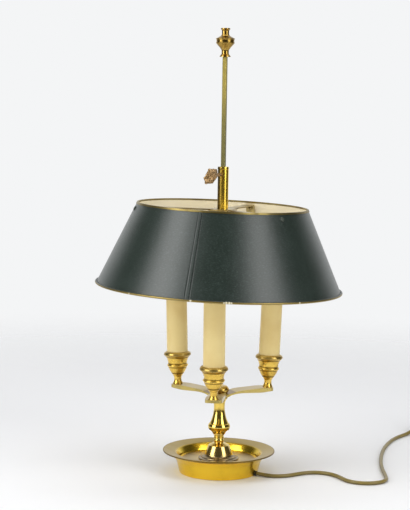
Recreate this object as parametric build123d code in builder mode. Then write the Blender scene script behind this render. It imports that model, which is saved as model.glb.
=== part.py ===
from build123d import *
import os
from math import atan2, cos, degrees, pi, radians, sin, sqrt, tan

# Bouillotte lamp: three candle lights on a dished brass base, under one tole shade.
# The shade slides on a square bar and is held there by a clamp key.
# Millimetres. Z is the lamp's axis, and z = 0 is the table under the felt.
# An azimuth is the angle round Z from the front (-Y), positive towards +X.

os.makedirs("parts", exist_ok=True)

# ---------------------------------------------------------------- driving dimensions
fit = 0.05  # radial play of a turned hole on its shaft
sheet_play = 0.05  # play of sheet metal in a slot

# Base: a spun dish on a foot ring, filled with a cast-iron weight
felt_thickness = 1.0
felt_r = 45.5
foot_lift = 0.3  # the foot ring stops short of the table
foot_ring_r = 48.2
dish_wall = 1.6
dish_floor_z = 16.5
dish_flank_r = 52.2  # where the foot ring turns out into the lip
dish_lip_r = 58.4
dish_rim_r = 68.8
dish_rim_z = 27.8
ballast_r = 44.5
recess_r = 12.0
recess_depth = 10.5
tube_nut_flats = 17.0
tube_nut_height = 4.6
tube_washer_r = 11.0
tube_washer_thickness = 1.5

# Stem: turned pieces threaded on one steel tube
tube_r = 5.0
tube_bore_r = 3.5
tube_tail = 0.2  # how far the tube reaches below its nut
foot_disc_r = 24.8
bell_r = 12.6  # at its shoulder
bell_shoulder = 16.9
bell_foot_height = 20.0
ball_height = 5.5
ball_r = 6.5
neck_r = 5.7
collar_height = 5.7
collar_r = 6.2
baluster_height = 44.3
baluster_bulb_r = 13.9
baluster_waist_r = 6.5

# Arms: one casting, three flat straps from a hub, and the dome that closes it
arm_count = 3
front_arm_azimuth = -6.2
hub_r = 9.9
hub_height = 7.5
arm_reach = 65.1  # from the lamp's axis to the seat of a cup
arm_tip = 4.6  # how far a strap runs past the middle of its cup
arm_tip_corner = 4.5
arm_width = 20.6
arm_seat_rise = 10.45  # the seat above the hub's foot
cup_lean = 2.1  # each cup leans outwards on its seat
channel_width = 7.0
channel_corner = 3.0
channel_depth = 2.1
cover_thickness = 0.7
cover_play = 0.1
wire_window_top = 4.0  # above the hub's foot
wire_window_width = 3.0
dome_height = 8.5
dome_r = 12.5

# Bar and finial
bar_side = 5.0
bar_chamfer = 0.4
bar_length = 400.2
bar_azimuth = -20.0  # one flat of the bar, and the key, face this way
bar_foot_pin_r = 2.5
bar_foot_pin = 4.4
bar_head_pin_r = 2.0
bar_head_pin = 12.5
finial_height = 34.4
finial_shoulder_r = 11.7
finial_neck_r = 4.4

# Candle cups and what stands in them
cup_height = 40.5
cup_foot_r = 6.2
cup_neck_r = 4.5
cup_belly_r = 11.8
cup_bead_r = 13.4
cup_rim_r = 17.3
cup_pin_r = 4.0
cup_wire_r = 3.0
cup_floor = 21.0
cup_ledge = 35.5
cup_well_r = 10.4
candle_r = 13.0
candle_wall = 1.0
candle_length = 90.0
nipple_r = 4.0
nipple_bore_r = 3.0
nipple_length = 13.0
nipple_nut_flats = 12.0
nipple_nut_height = 3.0
holder_base_r = 9.5
holder_base_thickness = 3.0
strip_width = 8.0
strip_thickness = 1.2
strip_inner_x = 7.5
socket_r = 11.2
socket_wall = 4.0
socket_height = 36.0
socket_top_drop = 1.0  # the socket stays this far under the candle's mouth
cap_height = 25.0
bulb_r = 17.5
bulb_height = 75.0
bulb_wall = 0.8

# Shade: a rolled cone of thin sheet, on a three-legged spider
shade_hub_z = 325.0  # top of the spider's hub: the sleeve stands here
shade_tilt = 2.0  # the shade leans: it has sunk a little on this side
lean_azimuth = 79.0
shade_top_r = 103.1
shade_bottom_r = 147.9
shade_depth = 98.6
shade_top_rise = 3.8  # the top rim above the top of the hub
sheet = 0.8
lap_azimuth = -15.5
lap_angle = 2.6
lap_thickness = 0.5
binding_wall = 0.6  # the folded brass strip that binds the top edge
binding_depth = 1.6
bottom_bead_r = 1.5
spider_hub_r = 17.9
spider_hub_thickness = 2.0
spider_azimuth = 40.4
strap_width = 11.0
strap_thickness = 1.5
strap_drop = 0.2  # the straps' tops lie under the hub's top
tab_length = 12.0
screw_drop = 7.4  # the rivet screws sit this far below the top rim
screw_r = 1.5
screw_head_r = 2.9
screw_head_height = 1.5
screw_play = 0.1
screw_hole_reach = 4.5  # a screw's hole is cut this far to each side of the sheet's inside
ball_nut_r = 2.8
sleeve_r = 6.6
sleeve_length = 51.1
sleeve_play = 0.06  # between the bar's flats and the square hole
sleeve_pin_r = 4.6
sleeve_pin = 6.0
sleeve_ring_r = 6.8
spider_nut_flats = 13.0
spider_nut_height = 3.0

# Clamp key
key_drop = 9.3  # below the sleeve's mouth
key_screw_r = 2.0
key_tip_gap = 0.06
key_reach = 46.0
key_head = 5.5  # how deep the cast head is, along the screw
key_head_drop = 1.0  # the head hangs a little below its screw
key_edge = 1.4
key_collar = 3.0
key_collar_r = 3.4

# Cord, bushing, switch and plug
cord_r = 2.4
cord_azimuth = 65.3
bushing_r = 2.9
bushing_z = 3.4
bushing_inner_r = 45.7
bushing_outer_r = 51.8
lead_r = 1.6
lead_bend = 4.0
wire_r = 0.6
switch_length = 58.0
switch_width = 24.0
switch_half_height = 8.0
switch_corner = 7.0
rocker_length = 17.0
rocker_width = 9.0
rocker_tilt = 8.0
rocker_play = 0.3
rocker_pin_r = 1.2
rocker_pin = 2.0
coil_mean_r = 28.0
coil_thickness = 19.4
coil_layers = 2
plug_length = 36.0
plug_width = 26.0
plug_height = 13.7
plug_neck = 22.0
plug_neck_r = 4.2
pin_r = 2.0
pin_length = 19.0
pin_spacing = 19.0

# ---------------------------------------------------------------- heights that follow
bell_foot_z = dish_floor_z
ball_z = bell_foot_z + bell_foot_height
collar_z = ball_z + ball_height
baluster_z = collar_z + collar_height
hub_z = baluster_z + baluster_height
dome_z = hub_z + hub_height
bar_z = dome_z + dome_height
finial_z = bar_z + bar_length
ballast_top = dish_floor_z - dish_wall
recess_top = felt_thickness + recess_depth
tube_nut_top = recess_top - tube_washer_thickness
tube_foot = tube_nut_top - tube_nut_height - tube_tail
tube_top = dome_z + 3.5
cup_z = hub_z + arm_seat_rise
arm_step = 360 / arm_count


def compass(azimuth, radius=1.0, z=0.0):
    """Return the point at this azimuth from the front, radius and height."""
    return Vector(radius * sin(radians(azimuth)), -radius * cos(radians(azimuth)), z)


def turned(outline, bore):
    """Return half a turned piece's section on the XZ plane.

    outline is (radius, height, corner radius) from the foot to the top of its outside,
    and bore is (radius, height) from the top of its inside to the foot.
    """
    outside = [(radius, height) for radius, height, _ in outline]
    corners = [corner for _, _, corner in outline[1:-1]]
    with BuildSketch(Plane.XZ) as section:
        with BuildLine():
            if corners:
                FilletPolyline(*outside, radius=corners)
            else:
                Line(*outside)
            Polyline(outside[-1], *bore, outside[0])
        make_face()
    return section.sketch


def lifted(outline, z):
    """Return a turned outline or bore moved up by z."""
    return [(point[0], point[1] + z, *point[2:]) for point in outline]


def straight_bore(radius, low, high):
    """Return the inside of a piece with one plain bore."""
    return [(radius, high), (radius, low)]


def keep(piece, name):
    """Label a finished piece and write it as its own STEP file."""
    piece.part.label = name
    export_step(piece.part, f"parts/{name}.step")
    print(f"{name}: {len(piece.part.solids())} solid(s), {piece.part.volume:.0f} mm3")


def cup_frame(outward):
    """Return the frame of a cup: its origin on the seat, x outwards along the arm and z up the candle."""
    up = Vector(0, 0, 1)
    return Plane(
        origin=outward * arm_reach + up * cup_z,
        x_dir=outward * cos(radians(cup_lean)) - up * sin(radians(cup_lean)),
        z_dir=outward * sin(radians(cup_lean)) + up * cos(radians(cup_lean)),
    )


# ---------------------------------------------------------------- base
flank_slope = (dish_flank_r - foot_ring_r) / (dish_floor_z - 1.0 - foot_lift)
inner_foot_r = foot_ring_r - dish_wall
inner_flank_r = inner_foot_r + flank_slope * (ballast_top - foot_lift)
dish_section = [
    (inner_foot_r, foot_lift, 0),
    (foot_ring_r, foot_lift, 0.4),
    (dish_flank_r, dish_floor_z - 1.0, 12),
    (dish_lip_r, dish_rim_z - 4.3, 8),
    (dish_rim_r, dish_rim_z - dish_wall, 0.5),
    (dish_rim_r, dish_rim_z, 0.5),
    (dish_lip_r - 1.9, dish_rim_z - 2.7, 7),
    (dish_flank_r - 3.8, dish_floor_z, 5),
    (tube_r + fit, dish_floor_z, 0),
]
dish_underside = [(tube_r + fit, ballast_top), (inner_flank_r, ballast_top)]
bushing_axis = Plane(origin=compass(cord_azimuth, 0, bushing_z), z_dir=compass(cord_azimuth))

with BuildPart() as base_dish:
    revolve(turned(dish_section, dish_underside), axis=Axis.Z)
    # the notch in the foot ring that the bushing sits in
    with BuildSketch(bushing_axis.offset(bushing_inner_r)):
        Circle(bushing_r + fit)
    extrude(amount=bushing_outer_r - bushing_inner_r, mode=Mode.SUBTRACT)
    with BuildSketch(Plane.XY.rotated((0, 0, cord_azimuth - 90))):
        with Locations(((bushing_inner_r + bushing_outer_r) / 2, 0)):
            Rectangle(bushing_outer_r - bushing_inner_r, 2 * (bushing_r + fit))
    extrude(amount=bushing_z, mode=Mode.SUBTRACT)
keep(base_dish, "base_dish")

with BuildPart() as base_ballast:
    with BuildSketch(Plane.XY.offset(felt_thickness)):
        Circle(ballast_r)
    extrude(amount=ballast_top - felt_thickness)
    with BuildSketch(Plane.XY.offset(felt_thickness)):
        Circle(recess_r)
    extrude(amount=recess_depth, mode=Mode.SUBTRACT)
    with BuildSketch(Plane.XY.offset(recess_top)):
        Circle(tube_r + fit)
    extrude(until=Until.LAST, mode=Mode.SUBTRACT)
    # the channel that brings the cord to the stem
    with BuildSketch(Plane.XY.offset(felt_thickness).rotated((0, 0, cord_azimuth - 90))):
        with Locations((ballast_r / 2 + recess_r / 2, 0)):
            Rectangle(ballast_r, 2 * bushing_r + 0.6)
    extrude(amount=bushing_z + bushing_r + 0.3 - felt_thickness, mode=Mode.SUBTRACT)
keep(base_ballast, "base_ballast")

with BuildPart() as base_felt:
    Cylinder(felt_r, felt_thickness, align=(Align.CENTER, Align.CENTER, Align.MIN))
keep(base_felt, "base_felt")

with BuildPart() as cord_bushing:
    with BuildSketch(bushing_axis.offset(bushing_inner_r)):
        Circle(bushing_r)
        Circle(lead_r + 0.1, mode=Mode.SUBTRACT)
    extrude(amount=bushing_outer_r - bushing_inner_r)
keep(cord_bushing, "cord_bushing")

with BuildPart() as stem_washer:
    with BuildSketch(Plane.XY.offset(tube_nut_top)):
        Circle(tube_washer_r)
        Circle(tube_r + fit, mode=Mode.SUBTRACT)
    extrude(amount=tube_washer_thickness)
keep(stem_washer, "stem_washer")

with BuildPart() as stem_nut:
    with BuildSketch(Plane.XY.offset(tube_nut_top)):
        RegularPolygon(tube_nut_flats / 2, 6, major_radius=False)
        Circle(tube_r + fit, mode=Mode.SUBTRACT)
    extrude(amount=-tube_nut_height)
keep(stem_nut, "stem_nut")

# ---------------------------------------------------------------- stem
with BuildPart() as stem_tube:
    with BuildSketch(Plane.XY.offset(tube_foot)):
        Circle(tube_r)
        Circle(tube_bore_r, mode=Mode.SUBTRACT)
    extrude(amount=tube_top - tube_foot)
    # windows that let the wires out into the arms
    for n in range(arm_count):
        with BuildSketch(Plane.XY.offset(hub_z).rotated((0, 0, front_arm_azimuth + n * arm_step - 90))):
            with Locations((tube_r, 0)):
                Rectangle(2 * (tube_r - wire_r), wire_window_width)
        extrude(amount=wire_window_top, mode=Mode.SUBTRACT)
keep(stem_tube, "stem_tube")

bell_foot_outline = [
    (foot_disc_r, 0, 0),
    (foot_disc_r, 1.5, 0.5),
    (foot_disc_r - 3.3, 2.1, 0.2),
    (foot_disc_r - 3.7, 2.9, 0.3),
    (bell_r + 4.6, 4.3, 3.5),
    (bell_r + 2.5, bell_shoulder - 5.4, 24),
    (bell_r, bell_shoulder, 0.5),
    (ball_r + 0.4, bell_foot_height, 0),
]
ball_outline = [
    (neck_r, 0, 0),
    (neck_r, 1.1, 0.3),
    (ball_r, ball_height / 2 + 0.3, 3.2),
    (neck_r, ball_height - 0.7, 0.3),
    (neck_r, ball_height, 0),
]
collar_outline = [
    (collar_r + 0.4, 0, 0),
    (collar_r + 0.4, 0.7, 0.3),
    (collar_r - 0.2, 1.2, 0.2),
    (collar_r - 0.1, collar_height - 1.6, 0.5),
    (collar_r + 0.6, collar_height - 0.9, 0.3),
    (collar_r + 0.6, collar_height, 0),
]
baluster_outline = [
    (collar_r + 1.4, 0, 0),
    (collar_r + 2.4, 2.6, 4),
    (baluster_bulb_r - 1.3, 5.3, 0.3),
    (baluster_bulb_r - 1.0, 5.9, 0.2),
    (baluster_bulb_r, 9.3, 4),
    (baluster_bulb_r - 1.1, 12.5, 0.2),
    (baluster_bulb_r - 2.3, 13.1, 0.3),
    (baluster_waist_r + 1.8, 20.6, 32),
    (baluster_waist_r, baluster_height - 13.3, 36),
    (baluster_waist_r + 0.6, baluster_height - 4.2, 9),
    (hub_r - 0.2, baluster_height - 0.5, 0.2),
    (hub_r - 0.2, baluster_height, 0),
]


def stem_piece(outline, z, height):
    """Return the half section of a turned stem piece, bored for the tube."""
    return turned(lifted(outline, z), straight_bore(tube_r + fit, z, z + height))


with BuildPart() as stem_bell_foot:
    revolve(stem_piece(bell_foot_outline, bell_foot_z, bell_foot_height), axis=Axis.Z)
keep(stem_bell_foot, "stem_bell_foot")

with BuildPart() as stem_ball:
    revolve(stem_piece(ball_outline, ball_z, ball_height), axis=Axis.Z)
keep(stem_ball, "stem_ball")

with BuildPart() as stem_collar:
    revolve(stem_piece(collar_outline, collar_z, collar_height), axis=Axis.Z)
keep(stem_collar, "stem_collar")

with BuildPart() as stem_baluster:
    revolve(stem_piece(baluster_outline, baluster_z, baluster_height), axis=Axis.Z)
keep(stem_baluster, "stem_baluster")

# ---------------------------------------------------------------- arms
# A strap's side view, from the axis out: (radius, height above the hub's foot, bend).
# Its top climbs, runs nearly level and ends in a seat at right angles to the leaning cup.
# Its underside is thinnest near the hub and fullest before the cup.
arm_end = arm_reach + arm_tip
seat_slope = tan(radians(cup_lean))
arm_top = [
    (tube_r, 4.8, 0),
    (23.0, 9.35, 60),
    (54.5, arm_seat_rise + (arm_reach - 54.5) * seat_slope, 60),
    (arm_end, arm_seat_rise - arm_tip * seat_slope, 0),
]
arm_under = [
    (tube_r, 1.3, 0),
    (13.5, 4.9, 30),
    (24.0, 6.2, 60),
    (52.0, 5.1, 60),
    (arm_end, 6.6, 0),
]
under_slope = (arm_under[-1][1] - arm_under[-2][1]) / (arm_under[-1][0] - arm_under[-2][0])
seat_thickness = arm_seat_rise - arm_under[-1][1] + under_slope * arm_tip
cup_pin = seat_thickness - channel_depth - 0.1  # the threaded pin ends short of the wires


def strap_section(upper, lower, start=0.0):
    """Return a strap's side view between two lines, beyond radius start."""
    line = lifted(upper + lower[::-1], hub_z)
    with BuildSketch(Plane.XZ) as section:
        with BuildLine():
            FilletPolyline(*[(r, z) for r, z, _ in line], radius=[bend for _, _, bend in line], close=True)
        make_face()
        if start:
            with Locations((start / 2, hub_z)):
                Rectangle(start, 2 * hub_height, mode=Mode.SUBTRACT)
    return section.sketch


def tongue(width, end, corner):
    """Return the plan of a strap from the axis to radius end, with its outer corners rounded."""
    with BuildSketch(Plane.XY) as plan:
        with Locations((end / 2, 0)):
            Rectangle(end, width)
        fillet(plan.vertices().group_by(Axis.X)[-1], corner)
    return plan.sketch


cup_place = cup_frame(Vector(1, 0, 0))
channel_end = arm_reach + channel_width / 2
with BuildPart() as channel:
    extrude(strap_section(lifted(arm_under, channel_depth), arm_under), amount=channel_width / 2, both=True)
    extrude(tongue(channel_width, channel_end, channel_corner), amount=cup_z, mode=Mode.INTERSECT)

with BuildPart() as arm:
    extrude(strap_section(arm_top, arm_under), amount=arm_width / 2, both=True)
    extrude(tongue(arm_width, arm_end, arm_tip_corner), amount=cup_z + arm_tip, mode=Mode.INTERSECT)
    add(channel.part, mode=Mode.SUBTRACT)
    # the hole that the cup's pin screws into
    with BuildSketch(cup_place.offset(-seat_thickness)):
        Circle(cup_pin_r + fit)
    extrude(amount=2 * seat_thickness, mode=Mode.SUBTRACT)

with BuildPart() as arm_cross:
    with BuildSketch(Plane.XY.offset(hub_z)):
        Circle(hub_r)
    extrude(amount=hub_height)
    with PolarLocations(0, arm_count, start_angle=front_arm_azimuth - 90):
        add(arm.part)
    with PolarLocations(0, arm_count, start_angle=front_arm_azimuth - 90):
        add(channel.part, mode=Mode.SUBTRACT)
    with BuildSketch(Plane.XY.offset(hub_z)):
        Circle(tube_r + fit)
    extrude(amount=hub_height, mode=Mode.SUBTRACT)
    # the wires' way into each channel, open towards the stem
    for n in range(arm_count):
        with BuildSketch(Plane.XY.offset(hub_z).rotated((0, 0, front_arm_azimuth + n * arm_step - 90))):
            with Locations(((tube_r + hub_r) / 2, 0)):
                Rectangle(hub_r - tube_r + 2 * wire_r, channel_width)
        extrude(amount=wire_window_top, mode=Mode.SUBTRACT)
keep(arm_cross, "arm_cross")

cover_line = lifted(arm_under, cover_thickness)
with BuildPart() as cover:
    extrude(strap_section(cover_line, arm_under, hub_r + 0.6), amount=channel_width, both=True)
    extrude(
        tongue(channel_width - 2 * cover_play, channel_end - cover_play, channel_corner - cover_play),
        amount=cup_z,
        mode=Mode.INTERSECT,
    )

with BuildPart() as arm_channel_covers:
    with PolarLocations(0, arm_count, start_angle=front_arm_azimuth - 90):
        add(cover.part)
keep(arm_channel_covers, "arm_channel_covers")

dome_outline = [
    (dome_r - 2.3, 0, 0),
    (dome_r, 3.6, 4),
    (dome_r - 3.7, dome_height - 0.5, 2.2),
    (bar_side / sqrt(2) + 1, dome_height, 0),
]
dome_bore = [
    (bar_foot_pin_r + fit, dome_height),
    (bar_foot_pin_r + fit, tube_top - dome_z),
    (tube_r + fit, tube_top - dome_z),
    (tube_r + fit, 0),
]
with BuildPart() as hub_dome:
    revolve(turned(lifted(dome_outline, dome_z), lifted(dome_bore, dome_z)), axis=Axis.Z)
keep(hub_dome, "hub_dome")

# ---------------------------------------------------------------- bar and finial
with BuildPart() as square_bar:
    with BuildSketch(Plane.XY.offset(bar_z).rotated((0, 0, bar_azimuth))) as bar_section:
        Rectangle(bar_side, bar_side)
        chamfer(bar_section.vertices(), bar_chamfer)
    extrude(amount=bar_length)
    with BuildSketch(Plane.XY.offset(bar_z)):
        Circle(bar_foot_pin_r)
    extrude(amount=-bar_foot_pin)
    with BuildSketch(Plane.XY.offset(finial_z)):
        Circle(bar_head_pin_r)
    extrude(amount=bar_head_pin)
keep(square_bar, "square_bar")

finial_outline = [
    (finial_neck_r + 2.3, 0, 0),
    (finial_neck_r + 2.3, 0.8, 0.2),
    (finial_neck_r, 3.6, 2),
    (finial_neck_r, 8.0, 3),
    (finial_neck_r + 2.0, 10.8, 2),
    (finial_shoulder_r - 1.0, 15.6, 0.8),
    (finial_shoulder_r - 0.3, 16.8, 0.4),
    (finial_shoulder_r - 0.9, 18.0, 0.4),
    (finial_shoulder_r - 0.9, 20.4, 0.4),
    (finial_shoulder_r, 21.8, 0.5),
    (finial_neck_r + 1.4, finial_height - 9.4, 1.5),
    (finial_neck_r, finial_height - 7.6, 1.2),
    (finial_neck_r, finial_height - 3.0, 2),
    (finial_neck_r + 1.5, finial_height - 1.1, 0.4),
    (finial_neck_r + 1.1, finial_height, 0.4),
    (0, finial_height, 0),
]
finial_bore = [(0, bar_head_pin + 0.5), (bar_head_pin_r + fit, bar_head_pin + 0.5), (bar_head_pin_r + fit, 0)]
with BuildPart() as finial:
    revolve(turned(lifted(finial_outline, finial_z), lifted(finial_bore, finial_z)), axis=Axis.Z)
keep(finial, "finial")

# ---------------------------------------------------------------- candle cups and lights
# Each piece of a light is drawn upright over a seat at z = 0 and then placed on its arm.
cup_outline = [
    (cup_pin_r, -cup_pin, 0),
    (cup_pin_r, 0, 0),
    (cup_foot_r, 0, 0),
    (cup_foot_r, 0.7, 0.3),
    (cup_neck_r, 4.2, 3),
    (cup_neck_r + 0.1, 8.6, 5),
    (cup_belly_r - 2.2, 16.0, 14),
    (cup_belly_r, cup_floor, 0.3),
    (cup_bead_r, cup_floor + 2.2, 1.2),
    (cup_belly_r, cup_floor + 4.3, 0.3),
    (cup_belly_r + 0.1, cup_floor + 7.0, 8),
    (cup_belly_r + 1.8, cup_ledge - 2.6, 6),
    (cup_rim_r, cup_height - 3.9, 1.6),
    (cup_rim_r - 1.1, cup_height - 1.3, 1.4),
    (candle_r + 1.1, cup_height, 0.4),
    (candle_r + 0.3, cup_height, 0),
]
nipple_z = cup_floor - 6
cup_bore = [
    (candle_r + 0.3, cup_ledge),
    (cup_well_r, cup_ledge),
    (cup_well_r, cup_floor),
    (nipple_r + fit, cup_floor),
    (nipple_r + fit, nipple_z),
    (cup_wire_r, nipple_z),
    (cup_wire_r, -cup_pin),
]
candle_top = cup_ledge + candle_length
socket_top = candle_top - socket_top_drop
socket_z = socket_top - socket_height
base_top = cup_floor + holder_base_thickness
cap_z = socket_top - cap_height + 0.5
bulb_z = cap_z + cap_height - 0.5
bulb_outline = [
    (socket_r - socket_wall - 0.4, 0, 0),
    (bulb_r * 0.62, 7, 12),
    (bulb_r + 1.6, 22, 24),
    (bulb_r * 0.72, bulb_height - 20, 40),
    (2.2, bulb_height - 0.4, 1.6),
    (0, bulb_height, 0),
]
bulb_inside = [(max(r - bulb_wall, 0), h * (1 - 2 * bulb_wall / bulb_height), c) for r, h, c in bulb_outline]

with BuildPart() as cup:
    revolve(turned(cup_outline, cup_bore), axis=Axis.Z)

with BuildPart() as nipple:
    with BuildSketch(Plane.XY.offset(nipple_z)):
        Circle(nipple_r)
        Circle(nipple_bore_r, mode=Mode.SUBTRACT)
    extrude(amount=nipple_length)

with BuildPart() as nipple_nut:
    with BuildSketch(Plane.XY.offset(base_top)):
        RegularPolygon(nipple_nut_flats / 2, 6, major_radius=False)
        Circle(nipple_r + fit, mode=Mode.SUBTRACT)
    extrude(amount=nipple_nut_height)

with BuildPart() as lampholder:
    with BuildSketch(Plane.XY.offset(cup_floor)):
        Circle(holder_base_r)
        Circle(nipple_r + fit, mode=Mode.SUBTRACT)
    extrude(amount=holder_base_thickness)
    with BuildSketch(Plane.XY.offset(cup_floor)):
        with Locations((strip_inner_x + strip_thickness / 2, 0)):
            Rectangle(strip_thickness, strip_width)
    extrude(amount=socket_z + 1 - cup_floor)
    with BuildSketch(Plane.XY.offset(socket_z)):
        Circle(socket_r)
    extrude(amount=socket_height)
    with BuildSketch(Plane.XY.offset(cap_z)):
        Circle(socket_r - socket_wall)
    extrude(amount=cap_height, mode=Mode.SUBTRACT)

with BuildPart() as candle:
    with BuildSketch(Plane.XY.offset(cup_ledge)):
        Circle(candle_r)
        Circle(candle_r - candle_wall, mode=Mode.SUBTRACT)
    extrude(amount=candle_length)
    fillet(candle.faces().sort_by(Axis.Z)[-1].edges(), candle_wall * 0.4)

with BuildPart() as bulb_cap:
    with BuildSketch(Plane.XY.offset(cap_z)):
        Circle(socket_r - socket_wall - 0.2)
    extrude(amount=bulb_z - cap_z)

with BuildPart() as bulb_glass:
    revolve(turned(lifted(bulb_outline, bulb_z), [(0, bulb_z)]), axis=Axis.Z)
    revolve(turned(lifted(bulb_inside, bulb_z), [(0, bulb_z)]), axis=Axis.Z, mode=Mode.SUBTRACT)

cup_parts = [
    (cup, "cup"),
    (lampholder, "lampholder"),
    (candle, "candle_sleeve"),
    (bulb_cap, "bulb_cap"),
    (bulb_glass, "bulb_glass"),
]
cup_frames = [cup_frame(compass(front_arm_azimuth + n * arm_step)) for n in range(arm_count)]
for frame, side in zip(cup_frames, ["front", "right", "left"]):
    for master, name in cup_parts:
        with BuildPart() as placed:
            with Locations(frame):
                add(master.part)
        keep(placed, f"{name}_{side}")

for master, name in [(nipple, "holder_nipples"), (nipple_nut, "holder_nuts")]:
    with BuildPart() as group:
        with Locations(*cup_frames):
            add(master.part)
    keep(group, name)

# ---------------------------------------------------------------- wiring inside
wire_rise = (cover_thickness + channel_depth) / 2
wire_line = [Vector(r, 0, z) for r, z, _ in lifted(arm_under[:-1], hub_z + wire_rise)]
wire_run = (wire_line[1] - wire_line[0]).normalized()
wire_start = wire_line[0] - wire_run * (tube_r - lead_r - 2 * wire_r)
wire_turn = cup_place.from_local_coords(Vector(0, 0, wire_rise - seat_thickness))
wire_top = cup_place.from_local_coords(Vector(0, 0, base_top))
with BuildPart() as arm_wire:
    with BuildLine():
        FilletPolyline(wire_start, *wire_line[1:], wire_turn, wire_top, radius=[30, 60, 60, 1.6])
    with BuildSketch(Plane(wire_start, z_dir=wire_run)):
        Circle(wire_r)
    sweep()

with BuildPart() as arm_wires:
    with PolarLocations(0, arm_count, start_angle=front_arm_azimuth - 90):
        add(arm_wire.part)
keep(arm_wires, "arm_wires")

with BuildPart() as inner_lead:
    lead_start = compass(cord_azimuth, bushing_outer_r, bushing_z)
    with BuildLine():
        FilletPolyline(lead_start, (0, 0, bushing_z), (0, 0, hub_z), radius=[lead_bend])
    with BuildSketch(Plane(lead_start, z_dir=-compass(cord_azimuth))):
        Circle(lead_r)
    sweep()
keep(inner_lead, "inner_lead")

# ---------------------------------------------------------------- shade
# The shade's own axis leans; pieces of the cone are drawn upright about the hub's top
# and then placed on this leaning frame.
lean_axis = Axis((0, 0, 0), compass(lean_azimuth + 90))
lean = Plane(
    origin=(0, 0, shade_hub_z),
    x_dir=Vector(1, 0, 0).rotate(lean_axis, shade_tilt),
    z_dir=Vector(0, 0, 1).rotate(lean_axis, shade_tilt),
)
wall_run = shade_bottom_r - shade_top_r
wall_slope = wall_run / shade_depth
wall_angle = degrees(atan2(wall_run, shade_depth))
shade_foot_rise = shade_top_rise - shade_depth
wall_level = 1 / cos(radians(wall_angle))  # level thickness of a wall of thickness 1


def band_corners(inner, outer, top=shade_top_rise, foot=shade_foot_rise):
    """Return the corners of the cone's section between two distances out from the sheet's inside."""
    near, far = inner * wall_level, outer * wall_level
    top_r = shade_top_r + (shade_top_rise - top) * wall_slope
    foot_r = shade_top_r + (shade_top_rise - foot) * wall_slope
    return [(top_r + near, top), (top_r + far, top), (foot_r + far, foot), (foot_r + near, foot)]


def cone_band(corners):
    """Return the face of a stretch of the cone's section."""
    with BuildSketch(Plane.XZ) as section:
        with BuildLine():
            Polyline(*corners, close=True)
        make_face()
    return section.sketch




def cone_core(foot):
    """Return half the section of the room inside the cone, from its top down to foot."""
    foot_r = shade_top_r + (shade_top_rise - foot) * wall_slope
    with BuildSketch(Plane.XZ) as section:
        with BuildLine():
            Polyline(
                (0, shade_top_rise),
                (shade_top_r, shade_top_rise),
                (foot_r, foot),
                (0, foot),
                close=True,
            )
        make_face()
    return section.sketch


screw_rise = shade_top_rise - screw_drop
screw_wall_r = shade_top_r + screw_drop * wall_slope
screw_axis = Plane(
    origin=(screw_wall_r, 0, screw_rise),
    z_dir=(cos(radians(wall_angle)), 0, sin(radians(wall_angle))),
)
lap_corners = band_corners(
    sheet,
    sheet + lap_thickness,
    top=shade_top_rise - binding_depth - 2 * sheet_play,
    foot=shade_foot_rise + bottom_bead_r + 2 * sheet_play,
)
lap_band = cone_band(lap_corners).rotate(Axis.Z, lap_azimuth - 90)
top_slot = band_corners(
    -sheet_play,
    sheet + sheet_play,
    top=shade_top_rise + sheet_play,
    foot=shade_top_rise - 2 * binding_depth,
)
bottom_slot = band_corners(-sheet_play, sheet + sheet_play, foot=shade_foot_rise - sheet_play)

with BuildPart() as screw_hole:
    with BuildSketch(screw_axis):
        Circle(screw_r + screw_play)
    extrude(amount=screw_hole_reach, both=True)

with BuildPart() as shell:
    revolve(cone_band(band_corners(0, sheet)), axis=Axis.Z)
    revolve(lap_band, axis=Axis.Z, revolution_arc=lap_angle)
    with PolarLocations(0, arm_count, start_angle=spider_azimuth - 90):
        add(screw_hole.part, mode=Mode.SUBTRACT)

# a brass strip folded over the sheet's top edge
binding_corners = band_corners(
    -binding_wall,
    sheet + binding_wall,
    top=shade_top_rise + binding_wall,
    foot=shade_top_rise - binding_depth,
)
with BuildPart() as rim_top:
    with BuildSketch(Plane.XZ):
        with BuildLine():
            Polyline(*binding_corners, close=True)
        make_face()
        with BuildLine():
            Polyline(*top_slot, close=True)
        make_face(mode=Mode.SUBTRACT)
    revolve(axis=Axis.Z)

# the sheet's lower edge, rolled outwards round a wire
with BuildPart() as rim_bottom:
    with BuildSketch(Plane.XZ):
        with Locations((shade_bottom_r + bottom_bead_r * wall_level, shade_foot_rise)):
            Circle(bottom_bead_r)
        with BuildLine():
            Polyline(*bottom_slot, close=True)
        make_face(mode=Mode.SUBTRACT)
    revolve(axis=Axis.Z)

with BuildPart() as strap:
    # the strap runs level to the wall, then its end turns down along the wall
    strap_top = -strap_drop
    wall_at_strap = shade_top_r + (shade_top_rise - strap_top) * wall_slope
    with BuildSketch(Plane.XZ):
        with BuildLine():
            FilletPolyline(
                (spider_hub_r - 5, strap_top),
                (wall_at_strap + 1, strap_top),
                (wall_at_strap + 1 + tab_length * wall_slope, strap_top - tab_length),
                (wall_at_strap + 1 + tab_length * wall_slope - 2 * strap_thickness, strap_top - tab_length),
                (wall_at_strap - strap_thickness * (wall_level - wall_slope), strap_top - strap_thickness),
                (spider_hub_r - 5, strap_top - strap_thickness),
                radius=[0, 0, 0, 0, 0.8, 0],
                close=True,
            )
        make_face()
    extrude(amount=strap_width / 2, both=True)
    # its end follows the inside of the cone
    revolve(cone_core(strap_top - 2 * tab_length), axis=Axis.Z, mode=Mode.INTERSECT)
    add(screw_hole.part, mode=Mode.SUBTRACT)

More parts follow.
